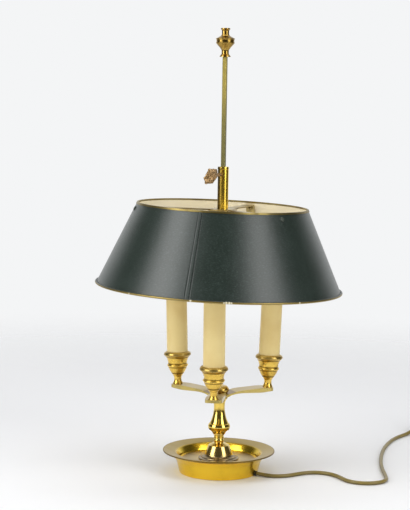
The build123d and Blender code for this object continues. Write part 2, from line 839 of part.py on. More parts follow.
screw_side = Plane(origin=screw_axis.origin, x_dir=(0, 1, 0), z_dir=Vector(0, 1, 0).cross(screw_axis.z_dir))
screw_end = -strap_thickness - ball_nut_r + 0.4
screw_top = sheet + screw_head_height
with BuildPart() as screw:
    # a low domed head outside the sheet, and a shank through to the nut
    with BuildSketch(screw_side):
        with BuildLine():
            Polyline(
                (0, screw_top),
                (0, screw_end),
                (screw_r, screw_end),
                (screw_r, sheet),
                (screw_head_r, sheet),
            )
            Spline((screw_head_r, sheet), (0, screw_top), tangents=((0, 1), (-1, 0)))
        make_face()
    revolve(axis=Axis(screw_axis.origin, screw_axis.z_dir))

with BuildPart() as ball_nut:
    with Locations(screw_axis.offset(-strap_thickness - ball_nut_r + 0.3)):
        Sphere(ball_nut_r)
    with BuildSketch(screw_axis.offset(-strap_thickness)):
        Circle(ball_nut_r + 1)
    extrude(amount=ball_nut_r, mode=Mode.SUBTRACT)
    with BuildSketch(screw_axis.offset(-strap_thickness)):
        Circle(screw_r + fit)
    extrude(amount=-ball_nut_r + 0.3 - 0.2, mode=Mode.SUBTRACT)

with BuildPart() as shade_shell:
    with Locations(lean):
        add(shell.part)
keep(shade_shell, "shade_shell")

with BuildPart() as shade_top_rim:
    with Locations(lean):
        add(rim_top.part)
keep(shade_top_rim, "shade_top_rim")

with BuildPart() as shade_bottom_rim:
    with Locations(lean):
        add(rim_bottom.part)
keep(shade_bottom_rim, "shade_bottom_rim")

with BuildPart() as shade_spider:
    with BuildSketch(Plane.XY.offset(shade_hub_z)):
        Circle(spider_hub_r)
    extrude(amount=-spider_hub_thickness)
    with Locations(lean):
        with PolarLocations(0, arm_count, start_angle=spider_azimuth - 90):
            add(strap.part)
    with BuildSketch(Plane.XY.offset(shade_hub_z)):
        Circle(sleeve_pin_r + fit)
    extrude(amount=spider_hub_thickness, both=True, mode=Mode.SUBTRACT)
keep(shade_spider, "shade_spider")

for master, name in [(screw, "shade_screws"), (ball_nut, "shade_ball_nuts")]:
    with BuildPart() as group:
        with Locations(lean):
            with PolarLocations(0, arm_count, start_angle=spider_azimuth - 90):
                add(master.part)
    keep(group, name)

# ---------------------------------------------------------------- sleeve, its nut and the key
key_z = shade_hub_z + sleeve_length - key_drop
key_axis = Plane(origin=(0, 0, key_z), x_dir=(0, 0, 1), z_dir=compass(bar_azimuth))
sleeve_outline = [
    (sleeve_pin_r, -sleeve_pin, 0),
    (sleeve_pin_r, 0, 0),
    (sleeve_r, 0, 0),
    (sleeve_r, sleeve_length - 3.2, 0.2),
    (sleeve_ring_r, sleeve_length - 2.6, 0.4),
    (sleeve_ring_r, sleeve_length - 1.4, 0.4),
    (sleeve_r, sleeve_length, 0),
]
sleeve_core = [(0, sleeve_length), (0, -sleeve_pin)]
with BuildPart() as shade_sleeve:
    revolve(
        turned(lifted(sleeve_outline, shade_hub_z), lifted(sleeve_core, shade_hub_z)),
        axis=Axis.Z,
    )
    with BuildSketch(Plane.XY.offset(shade_hub_z - sleeve_pin).rotated((0, 0, bar_azimuth))) as hole:
        Rectangle(bar_side + 2 * sleeve_play, bar_side + 2 * sleeve_play)
        chamfer(hole.vertices(), bar_chamfer)
    extrude(amount=sleeve_pin + sleeve_length, mode=Mode.SUBTRACT)
    with BuildSketch(key_axis):
        Circle(key_screw_r + fit)
    extrude(amount=2 * sleeve_r, mode=Mode.SUBTRACT)
keep(shade_sleeve, "shade_sleeve")

with BuildPart() as spider_nut:
    with BuildSketch(Plane.XY.offset(shade_hub_z - spider_hub_thickness)):
        RegularPolygon(spider_nut_flats / 2, 6, major_radius=False)
        Circle(sleeve_pin_r + fit, mode=Mode.SUBTRACT)
    extrude(amount=-spider_nut_height)
keep(spider_nut, "spider_nut")

key_tip = bar_side / 2 + key_tip_gap
key_head_start = key_reach - key_head
key_face = Plane(
    origin=compass(bar_azimuth, key_head_start, key_z - key_head_drop),
    x_dir=compass(bar_azimuth + 90),
    z_dir=compass(bar_azimuth),
)
with BuildPart() as clamp_key:
    # a cast head with two canted lobes, an upper one to the right and a lower one to the left
    with BuildSketch(key_face):
        with BuildLine():
            Polyline(
                (-2.4, 9.2),
                (6.6, 9.2),
                (7.8, 5.0),
                (7.4, -1.0),
                (2.0, -8.0),
                (-6.6, -8.8),
                (-8.2, -1.4),
                (-5.4, 2.6),
                close=True,
            )
        make_face()
    extrude(amount=key_head)
    chamfer(clamp_key.faces().sort_by(Axis((0, 0, 0), compass(bar_azimuth)))[-1].edges(), key_edge)
    with BuildSketch(key_axis.offset(key_head_start - key_collar)):
        Circle(key_collar_r)
    extrude(amount=key_collar + 1)
    with BuildSketch(key_axis.offset(key_tip)):
        Circle(key_screw_r)
    extrude(amount=key_head_start - key_tip + 1)
keep(clamp_key, "clamp_key")

# ---------------------------------------------------------------- cord, switch and plug
# The cord's way over the table, in plan, chosen by hand; it lies one radius up.
cord_plan = [
    (59.8, -27.7),
    (73.2, -29.6),
    (86.0, -25.4),
    (96.7, -16.4),
    (108.4, -8.8),
    (120.7, -6.6),
    (132.7, -10.0),
    (142.0, -18.4),
    (148.8, -31.2),
    (155.2, -47.0),
    (167.4, -56.0),
    (182.6, -57.3),
    (196.2, -50.4),
    (204.2, -37.5),
    (204.5, -13.5),
    (204.0, 22.0),
    (206.5, 62.0),
    (212.5, 106.0),
    (222.0, 150.0),
    (235.0, 188.0),
    (249.0, 213.0),
    (261.0, 229.0),
]
switch_heading = 46.0
switch_entry = Vector(274.0, 243.0, switch_half_height)
forward = Vector(cos(radians(switch_heading)), sin(radians(switch_heading)), 0)
aside = Vector(forward.Y, -forward.X, 0)
coil_height = 2 * cord_r * (1 + 0.92 * (coil_layers - 1))


def soft_path(points):
    """Return the corner radii of a cord's route: 0.45 of the shorter run over tan(half the turn)."""
    radii = []
    for before, corner, after in zip(points, points[1:], points[2:]):
        first, second = corner - before, after - corner
        half_turn = radians(first.get_angle(second)) / 2
        radii.append(0.45 * min(first.length, second.length) / tan(half_turn))
    return radii


def tube(points):
    """Return a cord's tube along its route, and print what shows that it is sound."""
    radii = soft_path(points)
    with BuildPart() as piece:
        with BuildLine() as route:
            if radii:
                FilletPolyline(*points, radius=radii)
            else:
                Line(*points)
        with BuildSketch(Plane(points[0], z_dir=points[1] - points[0])):
            Circle(cord_r)
        sweep()
    length = sum(edge.length for edge in route.edges())
    section = pi * cord_r**2
    print("  radii", [round(r, 1) for r in radii])
    print(f"  length {length:.1f}, volume / (section x length) {piece.part.volume / (section * length):.4f}")
    return piece


lead_points = [compass(cord_azimuth, bushing_outer_r, bushing_z)]
lead_points += [Vector(x, y, cord_r) for x, y in cord_plan]
lead_points += [switch_entry]
cord_lead = tube(lead_points)
keep(cord_lead, "cord_lead")

# Inline switch: two shells, a rocker and two screws, along the cord
switch_centre = switch_entry + forward * (switch_length / 2)
switch_exit = switch_entry + forward * switch_length
switch_floor = Plane(origin=(switch_centre.X, switch_centre.Y, 0), x_dir=forward, z_dir=(0, 0, 1))
rocker_pivot_z = 2 * switch_half_height - 2.0
rocker_plane = Plane(
    origin=(switch_centre.X, switch_centre.Y, rocker_pivot_z),
    x_dir=forward,
    z_dir=aside,
)


def switch_shell(base_plane):
    """Return the plan of the switch's housing, with its narrow nose and tail."""
    with BuildSketch(base_plane) as plan:
        RectangleRounded(switch_length * 0.72, switch_width, switch_corner)
        Rectangle(switch_length - 4, switch_width * 0.62)
        Rectangle(switch_length, switch_width * 0.42)
    return plan.sketch


with BuildPart() as switch_lower:
    extrude(switch_shell(switch_floor), amount=switch_half_height)
    fillet(switch_lower.faces().sort_by(Axis.Z)[0].edges(), 1.2)
    with BuildSketch(switch_floor.offset(switch_half_height - 4)):
        Rectangle(switch_length * 0.5, switch_width - 5)
    extrude(amount=4, mode=Mode.SUBTRACT)
keep(switch_lower, "switch_lower")

with BuildPart() as switch_upper:
    extrude(switch_shell(switch_floor.offset(switch_half_height)), amount=switch_half_height)
    fillet(switch_upper.faces().sort_by(Axis.Z)[-1].edges(), 2.0)
    with BuildSketch(switch_floor.offset(switch_half_height)):
        Rectangle(rocker_length + 2 * rocker_play, rocker_width + 2 * rocker_play)
    extrude(amount=switch_half_height, mode=Mode.SUBTRACT)
    with BuildSketch(rocker_plane):
        Circle(rocker_pin_r + fit)
    extrude(amount=rocker_width / 2 + rocker_pin + 0.2, both=True, mode=Mode.SUBTRACT)
keep(switch_upper, "switch_upper")

tilted_forward = forward * cos(radians(rocker_tilt)) + Vector(0, 0, sin(radians(rocker_tilt)))
with BuildPart() as switch_rocker:
    with BuildSketch(Plane(origin=rocker_plane.origin, x_dir=tilted_forward, z_dir=aside)):
        with BuildLine():
            Polyline(
                (-rocker_length / 2 + 0.8, 2.4),
                (0, 0.9),
                (rocker_length / 2 - 0.8, 2.4),
                (rocker_length / 2 - 1.2, -2.2),
                (0, -3.4),
                (-rocker_length / 2 + 1.2, -2.2),
                close=True,
            )
        make_face()
    extrude(amount=rocker_width / 2, both=True)
    with BuildSketch(rocker_plane):
        Circle(rocker_pin_r)
    extrude(amount=rocker_width / 2 + rocker_pin, both=True)
keep(switch_rocker, "switch_rocker")

# The coil of spare cord, just past the switch, then the plug
coil_tangent = switch_exit + forward * (coil_mean_r + coil_thickness)
outer_turn_r = coil_mean_r + coil_thickness / 2 - cord_r
coil_centre = coil_tangent + aside * outer_turn_r
with BuildPart() as cord_coil:
    with BuildSketch(Plane(origin=(coil_centre.X, coil_centre.Y, 0), x_dir=(1, 0, 0), z_dir=(0, -1, 0))):
        with Locations((coil_mean_r, coil_height / 2)):
            RectangleRounded(coil_thickness, coil_height, cord_r)
    revolve(axis=Axis((coil_centre.X, coil_centre.Y, 0), (0, 0, 1)))
keep(cord_coil, "cord_coil")

link_step = (coil_tangent - switch_exit).length / 3
link_points = [
    switch_exit,
    switch_exit + forward * link_step - Vector(0, 0, switch_half_height - cord_r) + aside * 0.8,
    switch_exit + forward * (2 * link_step) - Vector(0, 0, switch_half_height - cord_r),
    coil_tangent - Vector(0, 0, switch_half_height - cord_r) + aside * 0.4,
]
cord_link = tube(link_points)
keep(cord_link, "cord_link")

# The cord leaves the coil's outer turn and runs back to the plug
leave_angle = radians(-28)
leave = coil_centre + Vector(cos(leave_angle), sin(leave_angle), 0) * (outer_turn_r - 0.4)
leave = Vector(leave.X, leave.Y, cord_r)
back = Vector(sin(leave_angle), -cos(leave_angle), 0)
inward = Vector(-cos(leave_angle), -sin(leave_angle), 0)
plug_axis_z = plug_height / 2
tail_points = [
    leave,
    leave + back * 20 + inward * 1.0,
    leave + back * 40 + inward * 4.5,
    leave + back * 58 + inward * 10 + Vector(0, 0, plug_axis_z - cord_r),
]
cord_tail = tube(tail_points)
keep(cord_tail, "cord_tail")

plug_heading = (tail_points[-1] - tail_points[-2])
plug_heading = Vector(plug_heading.X, plug_heading.Y, 0).normalized()
plug_face = Plane(origin=tail_points[-1], x_dir=plug_heading.cross(Vector(0, 0, 1)), z_dir=plug_heading)
with BuildPart() as plug_body:
    with BuildSketch(plug_face):
        Circle(plug_neck_r)
    with BuildSketch(plug_face.offset(plug_neck)):
        Circle(plug_neck_r + 1.2)
    loft()
    with BuildSketch(plug_face.offset(plug_neck)):
        RectangleRounded(plug_width * 0.55, plug_height * 0.9, plug_height * 0.4)
    with BuildSketch(plug_face.offset(plug_neck + plug_length * 0.55)):
        RectangleRounded(plug_width, plug_height, plug_height * 0.45)
    with BuildSketch(plug_face.offset(plug_neck + plug_length)):
        RectangleRounded(plug_width, plug_height, plug_height * 0.45)
    loft(ruled=True)
keep(plug_body, "plug_body")

with BuildPart() as plug_pins:
    with BuildSketch(plug_face.offset(plug_neck + plug_length)):
        with GridLocations(pin_spacing, 0, 2, 1):
            Circle(pin_r)
    extrude(amount=pin_length)
    pin_direction = Axis(tail_points[-1], plug_heading)
    fillet(plug_pins.faces().sort_by(pin_direction)[-2:].edges(), pin_r / 2)
keep(plug_pins, "plug_pins")
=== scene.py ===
# %% [markdown]
# # A bouillotte lamp: dressing an engineered model in Blender
#
# The lamp comes to us as a imported frame: every brass turning, strap, screw and sheet
# is already at its real size and place, in metres, with +Z up and the table at z = 0.
# This script gives those pieces their finishes, makes the few pieces whose form is
# softer than a machine drawing (the flex, the cast key, the spun dish) and sets up a
# plain studio round them.
#
# The frame comes first, because everything else is placed by it.

import bmesh
import bpy
import math
from mathutils import Matrix, Vector, noise


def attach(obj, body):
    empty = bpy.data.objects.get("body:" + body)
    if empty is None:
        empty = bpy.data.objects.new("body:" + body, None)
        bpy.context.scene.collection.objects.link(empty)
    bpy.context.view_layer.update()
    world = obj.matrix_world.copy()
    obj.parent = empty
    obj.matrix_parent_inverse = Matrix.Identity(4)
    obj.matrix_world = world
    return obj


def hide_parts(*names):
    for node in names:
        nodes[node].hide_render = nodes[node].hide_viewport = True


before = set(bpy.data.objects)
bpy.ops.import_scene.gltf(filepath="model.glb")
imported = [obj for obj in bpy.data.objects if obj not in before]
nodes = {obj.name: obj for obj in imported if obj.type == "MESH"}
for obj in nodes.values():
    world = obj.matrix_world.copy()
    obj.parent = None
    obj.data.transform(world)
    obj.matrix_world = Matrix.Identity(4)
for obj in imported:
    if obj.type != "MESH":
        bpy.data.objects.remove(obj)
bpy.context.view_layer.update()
MM = 0.001


# %% [markdown]
# ## The camera
#
# A lamp is best shown through a long lens from a little above its middle, because a
# wide lens would swell the shade. We could place the camera by eye, but a camera is a
# few numbers: where it stands, how far it is pitched, yawed and rolled, and its focal
# length. Written out as angles, they stay easy to correct. The view is upright, so
# the sensor's 36 mm side is the view's height.

# %% Camera
VIEW_HEIGHT = 510
FOCAL_PIXELS = 1527.1
SENSOR = 36.0
CAMERA_PLACE = Vector((0.0, -1.8528, 0.4480))
PITCH, YAW, ROLL = 0.0967, -0.0111, 0.0155


def look(pitch, yaw, roll):
    """Return the camera's turn: columns are its right, its up and its back."""
    ahead = Vector(
        (
            math.sin(yaw) * math.cos(pitch),
            math.cos(yaw) * math.cos(pitch),
            -math.sin(pitch),
        )
    )
    right = Vector((math.cos(yaw), -math.sin(yaw), 0))
    up = right.cross(ahead)
    rolled_right = right * math.cos(roll) + up * math.sin(roll)
    rolled_up = up * math.cos(roll) - right * math.sin(roll)
    return Matrix((rolled_right, rolled_up, -ahead)).transposed()


camera_data = bpy.data.cameras.new("camera")
camera_data.sensor_width = SENSOR
camera_data.lens = FOCAL_PIXELS / VIEW_HEIGHT * SENSOR
camera = bpy.data.objects.new("camera", camera_data)
camera.matrix_world = (
    Matrix.Translation(CAMERA_PLACE) @ look(PITCH, YAW, ROLL).to_4x4()
)
bpy.context.scene.collection.objects.link(camera)
bpy.context.scene.camera = camera
print("lens", round(camera_data.lens, 1), "mm")


# %% [markdown]
# ## The flex
#
# The flex leaves a small dark bushing in the foot ring, wanders over the table, goes
# through an inline switch and ends in a plug. A real flex is one length of rubbery
# material, so it is one curve here: a NURBS spline whose control points are the
# corners of its route. A mesh tube would need its bends worked out by hand; a NURBS
# of order 3 runs smoothly inside its corners, which is how a soft cord takes a bend.
#
# First come the few sizes that the route is built on, then its corners on the table.

# %% The flex's sizes
CORD_R = 2.4 * MM
CORD_AZIMUTH = math.radians(65.3)
BUSHING_R, BUSHING_Z = 51.8 * MM, 3.4 * MM
SWITCH_HEADING = math.radians(46.0)
SWITCH_ENTRY = Vector((0.274, 0.243, 0.008))
SWITCH_LENGTH = 58.0 * MM
COIL_MEAN_R = 28.0 * MM
COIL_THICKNESS = 19.4 * MM
OUTER_TURN_R = COIL_MEAN_R + COIL_THICKNESS / 2 - CORD_R
LEAVE_ANGLE = math.radians(-28)
LEAVE_INSET = 0.4 * MM
LINK_DRIFT = 0.8 * MM
print("coil", round(2 * (OUTER_TURN_R + CORD_R) / MM, 1), "mm across outside")

# %% The flex's corners on the table
lead_plan = [
    (0.0598, -0.0277), (0.0732, -0.0296), (0.0860, -0.0254), (0.0967, -0.0164),
    (0.1084, -0.0088), (0.1207, -0.0066), (0.1327, -0.0100), (0.1420, -0.0184),
    (0.1488, -0.0312), (0.1552, -0.0470), (0.1674, -0.0560), (0.1826, -0.0573),
    (0.1962, -0.0504), (0.2042, -0.0375), (0.2045, -0.0135), (0.2040, 0.0220),
    (0.2065, 0.0620), (0.2125, 0.1060), (0.2220, 0.1500), (0.2350, 0.1880),
    (0.2490, 0.2130), (0.2610, 0.2290),
]
print("lead", len(lead_plan), "corners before the switch")

# %% Where the switch and the coil lie
forward = Vector((math.cos(SWITCH_HEADING), math.sin(SWITCH_HEADING), 0))
aside = Vector((forward.y, -forward.x, 0))
switch_exit = SWITCH_ENTRY + forward * SWITCH_LENGTH
coil_tangent = switch_exit + forward * (COIL_MEAN_R + COIL_THICKNESS)
coil_tangent.z = CORD_R
coil_centre = coil_tangent + aside * OUTER_TURN_R
print("coil's centre", [round(v, 3) for v in coil_centre])


# %% [markdown]
# ## The coil
#
# The spare length is wound in a neat flat coil. Typing its corners would be slow and
# easy to get wrong, so a loop puts them out: four rings inwards on the table, then two
# and a half outwards on top, each lying in the groove between two rings below. A NURBS
# cuts inside its corners, so the corners lie a little further out than the rings.

# %% The coil's corners
CORNERS_PER_TURN = 16
LOWER_TURNS = 4
STEP_PART = 0.2
CROSSING_HUMP = 0.6 * MM


def smooth(value):
    """Ease from 0 to 1."""
    value = min(max(value, 0), 1)
    return value * value * (3 - 2 * value)


def coil_ring(turn):
    """Return the radius and the lift of the coil after so many turns."""
    pitch = 2 * CORD_R
    nested = math.sqrt(3) / 2 * pitch
    ring = math.floor(turn)
    change = smooth((turn - ring - (1 - STEP_PART)) / STEP_PART)
    if turn < LOWER_TURNS:
        radius = OUTER_TURN_R - pitch * min(ring + change, LOWER_TURNS - 1)
        if ring < LOWER_TURNS - 1:
            return radius, 0
        return radius + pitch / 2 * change, nested * change
    inner = OUTER_TURN_R - (LOWER_TURNS - 1) * pitch
    radius = inner + pitch * (0.5 + ring - LOWER_TURNS + change)
    return radius, nested + CROSSING_HUMP * math.sin(math.pi * change)


def coil_points(centre, start_angle, leave_angle):
    """Return a coil's corners: inwards on the table, then outwards on top, clockwise."""
    upper_turns = 2 + ((start_angle - leave_angle) / math.tau) % 1
    outwards = 1 / math.cos(math.pi / CORNERS_PER_TURN)
    points = []
    for step in range(1, round(CORNERS_PER_TURN * (LOWER_TURNS + upper_turns))):
        turn = step / CORNERS_PER_TURN
        radius, lift = coil_ring(turn)
        radius *= outwards
        angle = start_angle - turn * math.tau
        offset = (radius * math.cos(angle), radius * math.sin(angle), lift)
        points.append(centre + Vector(offset))
    return points


coil = coil_points(coil_centre, SWITCH_HEADING + math.pi / 2, LEAVE_ANGLE)
print("coil", len(coil), "corners")


# %% [markdown]
# ## One curve from the bushing to the plug
#
# The route is put together in the order in which the flex runs. Behind the coil it
# comes down from the upper layer and climbs a little into the plug. The spline's
# order is set after its points are added, because an order can't be higher than the
# number of points, and a low one would leave straight runs.

# %% The route
TAIL = ((0, 0, 4.3), (20, 1, 4.0), (40, 4.5, 1.2), (58, 10, 4.45))

exit_point = Vector(
    (
        BUSHING_R * math.sin(CORD_AZIMUTH),
        -BUSHING_R * math.cos(CORD_AZIMUTH),
        BUSHING_Z,
    )
)
back = Vector((math.sin(LEAVE_ANGLE), -math.cos(LEAVE_ANGLE), 0))
inward = Vector((-math.cos(LEAVE_ANGLE), -math.sin(LEAVE_ANGLE), 0))
leave = coil_centre - inward * (OUTER_TURN_R - LEAVE_INSET)
route = [exit_point]
route += [Vector((x, y, CORD_R)) for x, y in lead_plan]
route += [SWITCH_ENTRY, SWITCH_ENTRY + forward * SWITCH_LENGTH / 2, switch_exit]
for share, drift in ((1 / 3, LINK_DRIFT), (2 / 3, 0)):
    point = switch_exit.lerp(coil_tangent, share) + aside * drift
    point.z = CORD_R
    route.append(point)
route.append(coil_tangent)
route += coil
for along, sideways, lift in TAIL:
    level = leave + (back * along + inward * sideways) * MM
    route.append(level + Vector((0, 0, lift * MM)))
print("route", len(route), "corners")

# %% The flex as a curve
cord_curve = bpy.data.curves.new("cord", "CURVE")
cord_curve.dimensions = "3D"
spline = cord_curve.splines.new("NURBS")
spline.points.add(len(route) - 1)
for control, place in zip(spline.points, route):
    control.co = (*place, 1)
    control.radius = CORD_R
spline.order_u = 3
spline.use_endpoint_u = True
spline.resolution_u = 6
cord_curve.twist_mode = "Z_UP"
cord_curve.bevel_depth = 1.0
cord_curve.bevel_resolution = 4
cord_curve.use_fill_caps = True
cord = bpy.data.objects.new("cord", cord_curve)
bpy.context.scene.collection.objects.link(cord)

# %% The flex's facts
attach(cord, "root")
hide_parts("cord_lead", "cord_link", "cord_coil", "cord_tail")


# %% [markdown]
# ## The cast key
#
# The clamp key's head is a rough casting with ridges that fingers grip. The engineered
# key has flat faces. A bump in its finish would leave its outline smooth, so the
# ridges are real: we copy the mesh, join its loose triangles, give it small even faces
# with a voxel remesh, and then move each point of the head along its normal by a noise
# that is stretched upright.

# %% Small, even faces
WELD = 0.001 * MM
KEY_VOXEL = 0.32 * MM


def even_copy(node, name):
    """Return a new piece: this node's mesh, joined and remeshed with even faces."""
    shape = bmesh.new()
    shape.from_mesh(nodes[node].data)
    bmesh.ops.remove_doubles(shape, verts=shape.verts, dist=WELD)
    blank = bpy.data.meshes.new(node + "_blank")
    shape.to_mesh(blank)
    shape.free()
    piece = bpy.data.objects.new(name, blank)
    bpy.context.scene.collection.objects.link(piece)
    remesh = piece.modifiers.new("even faces", "REMESH")
    remesh.mode = "VOXEL"
    remesh.voxel_size = KEY_VOXEL
    seen = piece.evaluated_get(bpy.context.evaluated_depsgraph_get())
    piece.data = bpy.data.meshes.new_from_object(seen)
    piece.modifiers.clear()
    piece.data.name = name
    return piece


cast = even_copy("clamp_key", "clamp_key_cast")
print("key", len(cast.data.polygons), "even faces")

# %% Ridges and grit
KEY_AZIMUTH = math.radians(-20)
KEY_HEAD_START = 40.2 * MM
KEY_RIDGE, KEY_GRIT = 0.9 * MM, 0.12 * MM
RIDGES_PER_M, RIDGES_UP_PER_M, GRIT_PER_M = 800, 180, 1100
SOFTENING = 0.4


def roughen(mesh):
    """Move the points of the key's head along their normals."""
    outward = Vector((math.sin(KEY_AZIMUTH), -math.cos(KEY_AZIMUTH), 0))
    sideways = Vector((math.cos(KEY_AZIMUTH), math.sin(KEY_AZIMUTH), 0))
    shape = bmesh.new()
    shape.from_mesh(mesh)
    shape.normal_update()
    for point in shape.verts:
        head = smooth((point.co.dot(outward) - KEY_HEAD_START) / MM)
        across = point.co.dot(sideways) * RIDGES_PER_M
        ridge = noise.noise(Vector((across, 0, point.co.z * RIDGES_UP_PER_M)))
        grit = noise.noise(point.co * GRIT_PER_M)
        point.co += point.normal * head * (KEY_RIDGE * ridge + KEY_GRIT * grit)
    bmesh.ops.smooth_vert(
        shape, verts=shape.verts, factor=SOFTENING,
        use_axis_x=True, use_axis_y=True, use_axis_z=True,
    )
    shape.to_mesh(mesh)
    shape.free()
    for face in mesh.polygons:
        face.use_smooth = True


roughen(cast.data)
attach(cast, "key")
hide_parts("clamp_key")
print("cast key", [round(v / MM, 1) for v in cast.dimensions], "mm")


# %% [markdown]
# ## The spun dish
#
# A spinner presses the dish over a wooden form, so its flat brim turns down into a
# bowl in one soft curve. The engineered dish has a wider, straighter slope there. Ours
# is an outline of radius and height, rounded at its corners and spun once round the
# lamp's axis. A lathe-like spin is the natural tool: one outline says everything.

# %% Rounded outlines
ARC_STEPS = 8


def corner_arc(here, before, after, rounding):
    """Return the points of an arc that rounds the corner between two neighbours."""
    before = (before - here).normalized()
    after = (after - here).normalized()
    half = before.angle(after) / 2
    centre = here + (before + after).normalized() * rounding / math.sin(half)
    start = here + before * rounding / math.tan(half) - centre
    end = here + after * rounding / math.tan(half) - centre
    return [
        centre + start.lerp(end, step / ARC_STEPS).normalized() * rounding
        for step in range(ARC_STEPS + 1)
    ]


def rounded(corners):
    """Return a line through corners of (radius, height, rounding)."""
    places = [Vector((r, z)) for r, z, rounding in corners]
    line = []
    for index, (r, z, rounding) in enumerate(corners):
        if rounding:
            before, after = places[index - 1], places[index + 1]
            line += corner_arc(places[index], before, after, rounding)
        else:
            line.append(places[index])
    return line


DISH_CORNERS = [
    (46.6, 0.3, 0), (48.2, 0.3, 0.4), (52.2, 15.5, 12), (58.4, 23.5, 8),
    (68.8, 26.2, 0.5), (68.8, 27.8, 0.5), (52.4, 24.8, 5), (48.7, 18.8, 5),
    (47.9, 16.5, 0.8), (6.2, 16.5, 0), (6.2, 14.9, 0), (50.4, 14.9, 0),
]
dish_outline = rounded(DISH_CORNERS)
print("dish's outline", len(dish_outline), "points")

# %% Spinning
SPIN_STEPS = 128
SHARP_ANGLE = math.radians(40)


def spun(name, outline):
    """Spin an outline of (radius, height) in millimetres round the lamp's axis."""
    shape = bmesh.new()
    points = [shape.verts.new((r * MM, 0, z * MM)) for r, z in outline]
    edges = [shape.edges.new(pair) for pair in zip(points, points[1:] + points[:1])]
    bmesh.ops.spin(
        shape, geom=points + edges, cent=(0, 0, 0), axis=(0, 0, 1),
        angle=math.tau, steps=SPIN_STEPS, use_merge=True, use_duplicate=False,
    )
    bmesh.ops.remove_doubles(shape, verts=shape.verts, dist=WELD)
    bmesh.ops.recalc_face_normals(shape, faces=shape.faces)
    mesh = bpy.data.meshes.new(name)
    shape.to_mesh(mesh)
    shape.free()
    for face in mesh.polygons:
        face.use_smooth = True
    mesh.set_sharp_from_angle(angle=SHARP_ANGLE)
    piece = bpy.data.objects.new(name, mesh)
    bpy.context.scene.collection.objects.link(piece)
    return piece


dish = spun("base_dish_spun", dish_outline)
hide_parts("base_dish")
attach(dish, "root")
print("dish", len(dish.data.polygons), "faces")


# %% [markdown]
# ## Helpers for finishes
#
# Every finish is a node tree. Adding a node, linking it and reading its output takes
# three lines in plain Blender, which hides what a finish does. A few helpers bring
# that down to one line each, so the finishes below read like recipes.

# %% Node helpers
def add_node(tree, kind, **settings):
    """Add a node and set what is given: attributes by name, sockets by name."""
    made = tree.nodes.new(kind)
    for name, value in settings.items():
        if hasattr(made, name):
            setattr(made, name, value)
        else:
            made.inputs[name.replace("_", " ")].default_value = value
    return made


def feed(tree, value, socket):
    """Give a socket its value: link it if it comes from a node, else set it."""
    if isinstance(value, bpy.types.NodeSocket):
        tree.links.new(value, socket)
    else:
        socket.default_value = value


def math_node(tree, operation, *values):
    """Add a Math node; each value is a socket or a number. Return its output."""
    made = add_node(tree, "ShaderNodeMath", operation=operation)
    for socket, value in zip(made.inputs, values):
        feed(tree, value, socket)
    return made.outputs[0]


def ramp(tree, value, low, high):
    """Map value from low..high to 0..1, softly and clamped. Return the output."""
    made = add_node(tree, "ShaderNodeMapRange", clamp=True)
    made.interpolation_type = "SMOOTHSTEP"
    made.inputs["From Min"].default_value = low
    made.inputs["From Max"].default_value = high
    tree.links.new(value, made.inputs["Value"])
    return made.outputs["Result"]


print("node helpers ready")

# %% Colours
def linear(red, green, blue):
    """Turn a colour as a screen shows it, 0 to 255, into Blender's own."""
    return tuple(
        (c / 12.92 if c <= 0.04045 else ((c + 0.055) / 1.055) ** 2.4)
        for c in (red / 255, green / 255, blue / 255)
    )


def mix_colour(tree, factor, first, second):
    """Mix two colours; each is a socket or a colour. Return the output."""
    made = add_node(tree, "ShaderNodeMix", data_type="RGBA")
    feed(tree, factor, made.inputs["Factor"])
    for name, value in (("A", first), ("B", second)):
        socket = [s for s in made.inputs if s.name == name and s.type == "RGBA"][0]
        if not isinstance(value, bpy.types.NodeSocket):
            value = (*value, 1)
        feed(tree, value, socket)
    return [s for s in made.outputs if s.type == "RGBA"][0]


print("mid grey is", round(linear(128, 128, 128)[0], 3), "in Blender's own terms")

# %% Places
def object_place(tree):
    """Return the socket of a point's place: metres in the lamp's own frame."""
    return add_node(tree, "ShaderNodeTexCoord").outputs["Object"]


def split(tree, place):
    """Return the X, Y and Z sockets of a place."""
    parts = add_node(tree, "ShaderNodeSeparateXYZ")
    tree.links.new(place, parts.inputs[0])
    return parts.outputs


def from_axis(tree, place):
    """Return two sockets: a place's distance from the upright axis, and its height."""
    parts = split(tree, place)
    flat = add_node(tree, "ShaderNodeCombineXYZ")
    tree.links.new(parts["X"], flat.inputs["X"])
    tree.links.new(parts["Y"], flat.inputs["Y"])
    length = add_node(tree, "ShaderNodeVectorMath", operation="LENGTH")
    tree.links.new(flat.outputs[0], length.inputs[0])
    return length.outputs["Value"], parts["Z"]


def in_frame(tree, origin, turn):
    """Return a point's place in a frame that stands at origin and is turned."""
    local = add_node(tree, "ShaderNodeMapping", vector_type="TEXTURE")
    local.inputs["Location"].default_value = origin
    local.inputs["Rotation"].default_value = turn.to_euler()
    tree.links.new(object_place(tree), local.inputs["Vector"])
    return local.outputs[0]


def noise_node(tree, place, scale, **settings):
    """Add a Noise Texture at a place; scale is a socket or a number. Return its output."""
    made = add_node(tree, "ShaderNodeTexNoise", **settings)
    tree.links.new(place, made.inputs["Vector"])
    feed(tree, scale, made.inputs["Scale"])
    return made.outputs["Fac"]


print("place helpers ready")


# %% [markdown]
# ## Shared effects
#
# Old polished metal is never one colour. Thin clouds of tarnish drift over it, fine
# specks collect, hollows stay dull and edges stay bright. Each effect is a shader
# node group, built once, that puts out masks and a height; each material then
# chooses how much of it shows. Everything reads Object coordinates, which here are
# metres in the lamp's own frame, so a scale of 100 means features of 10 mm.

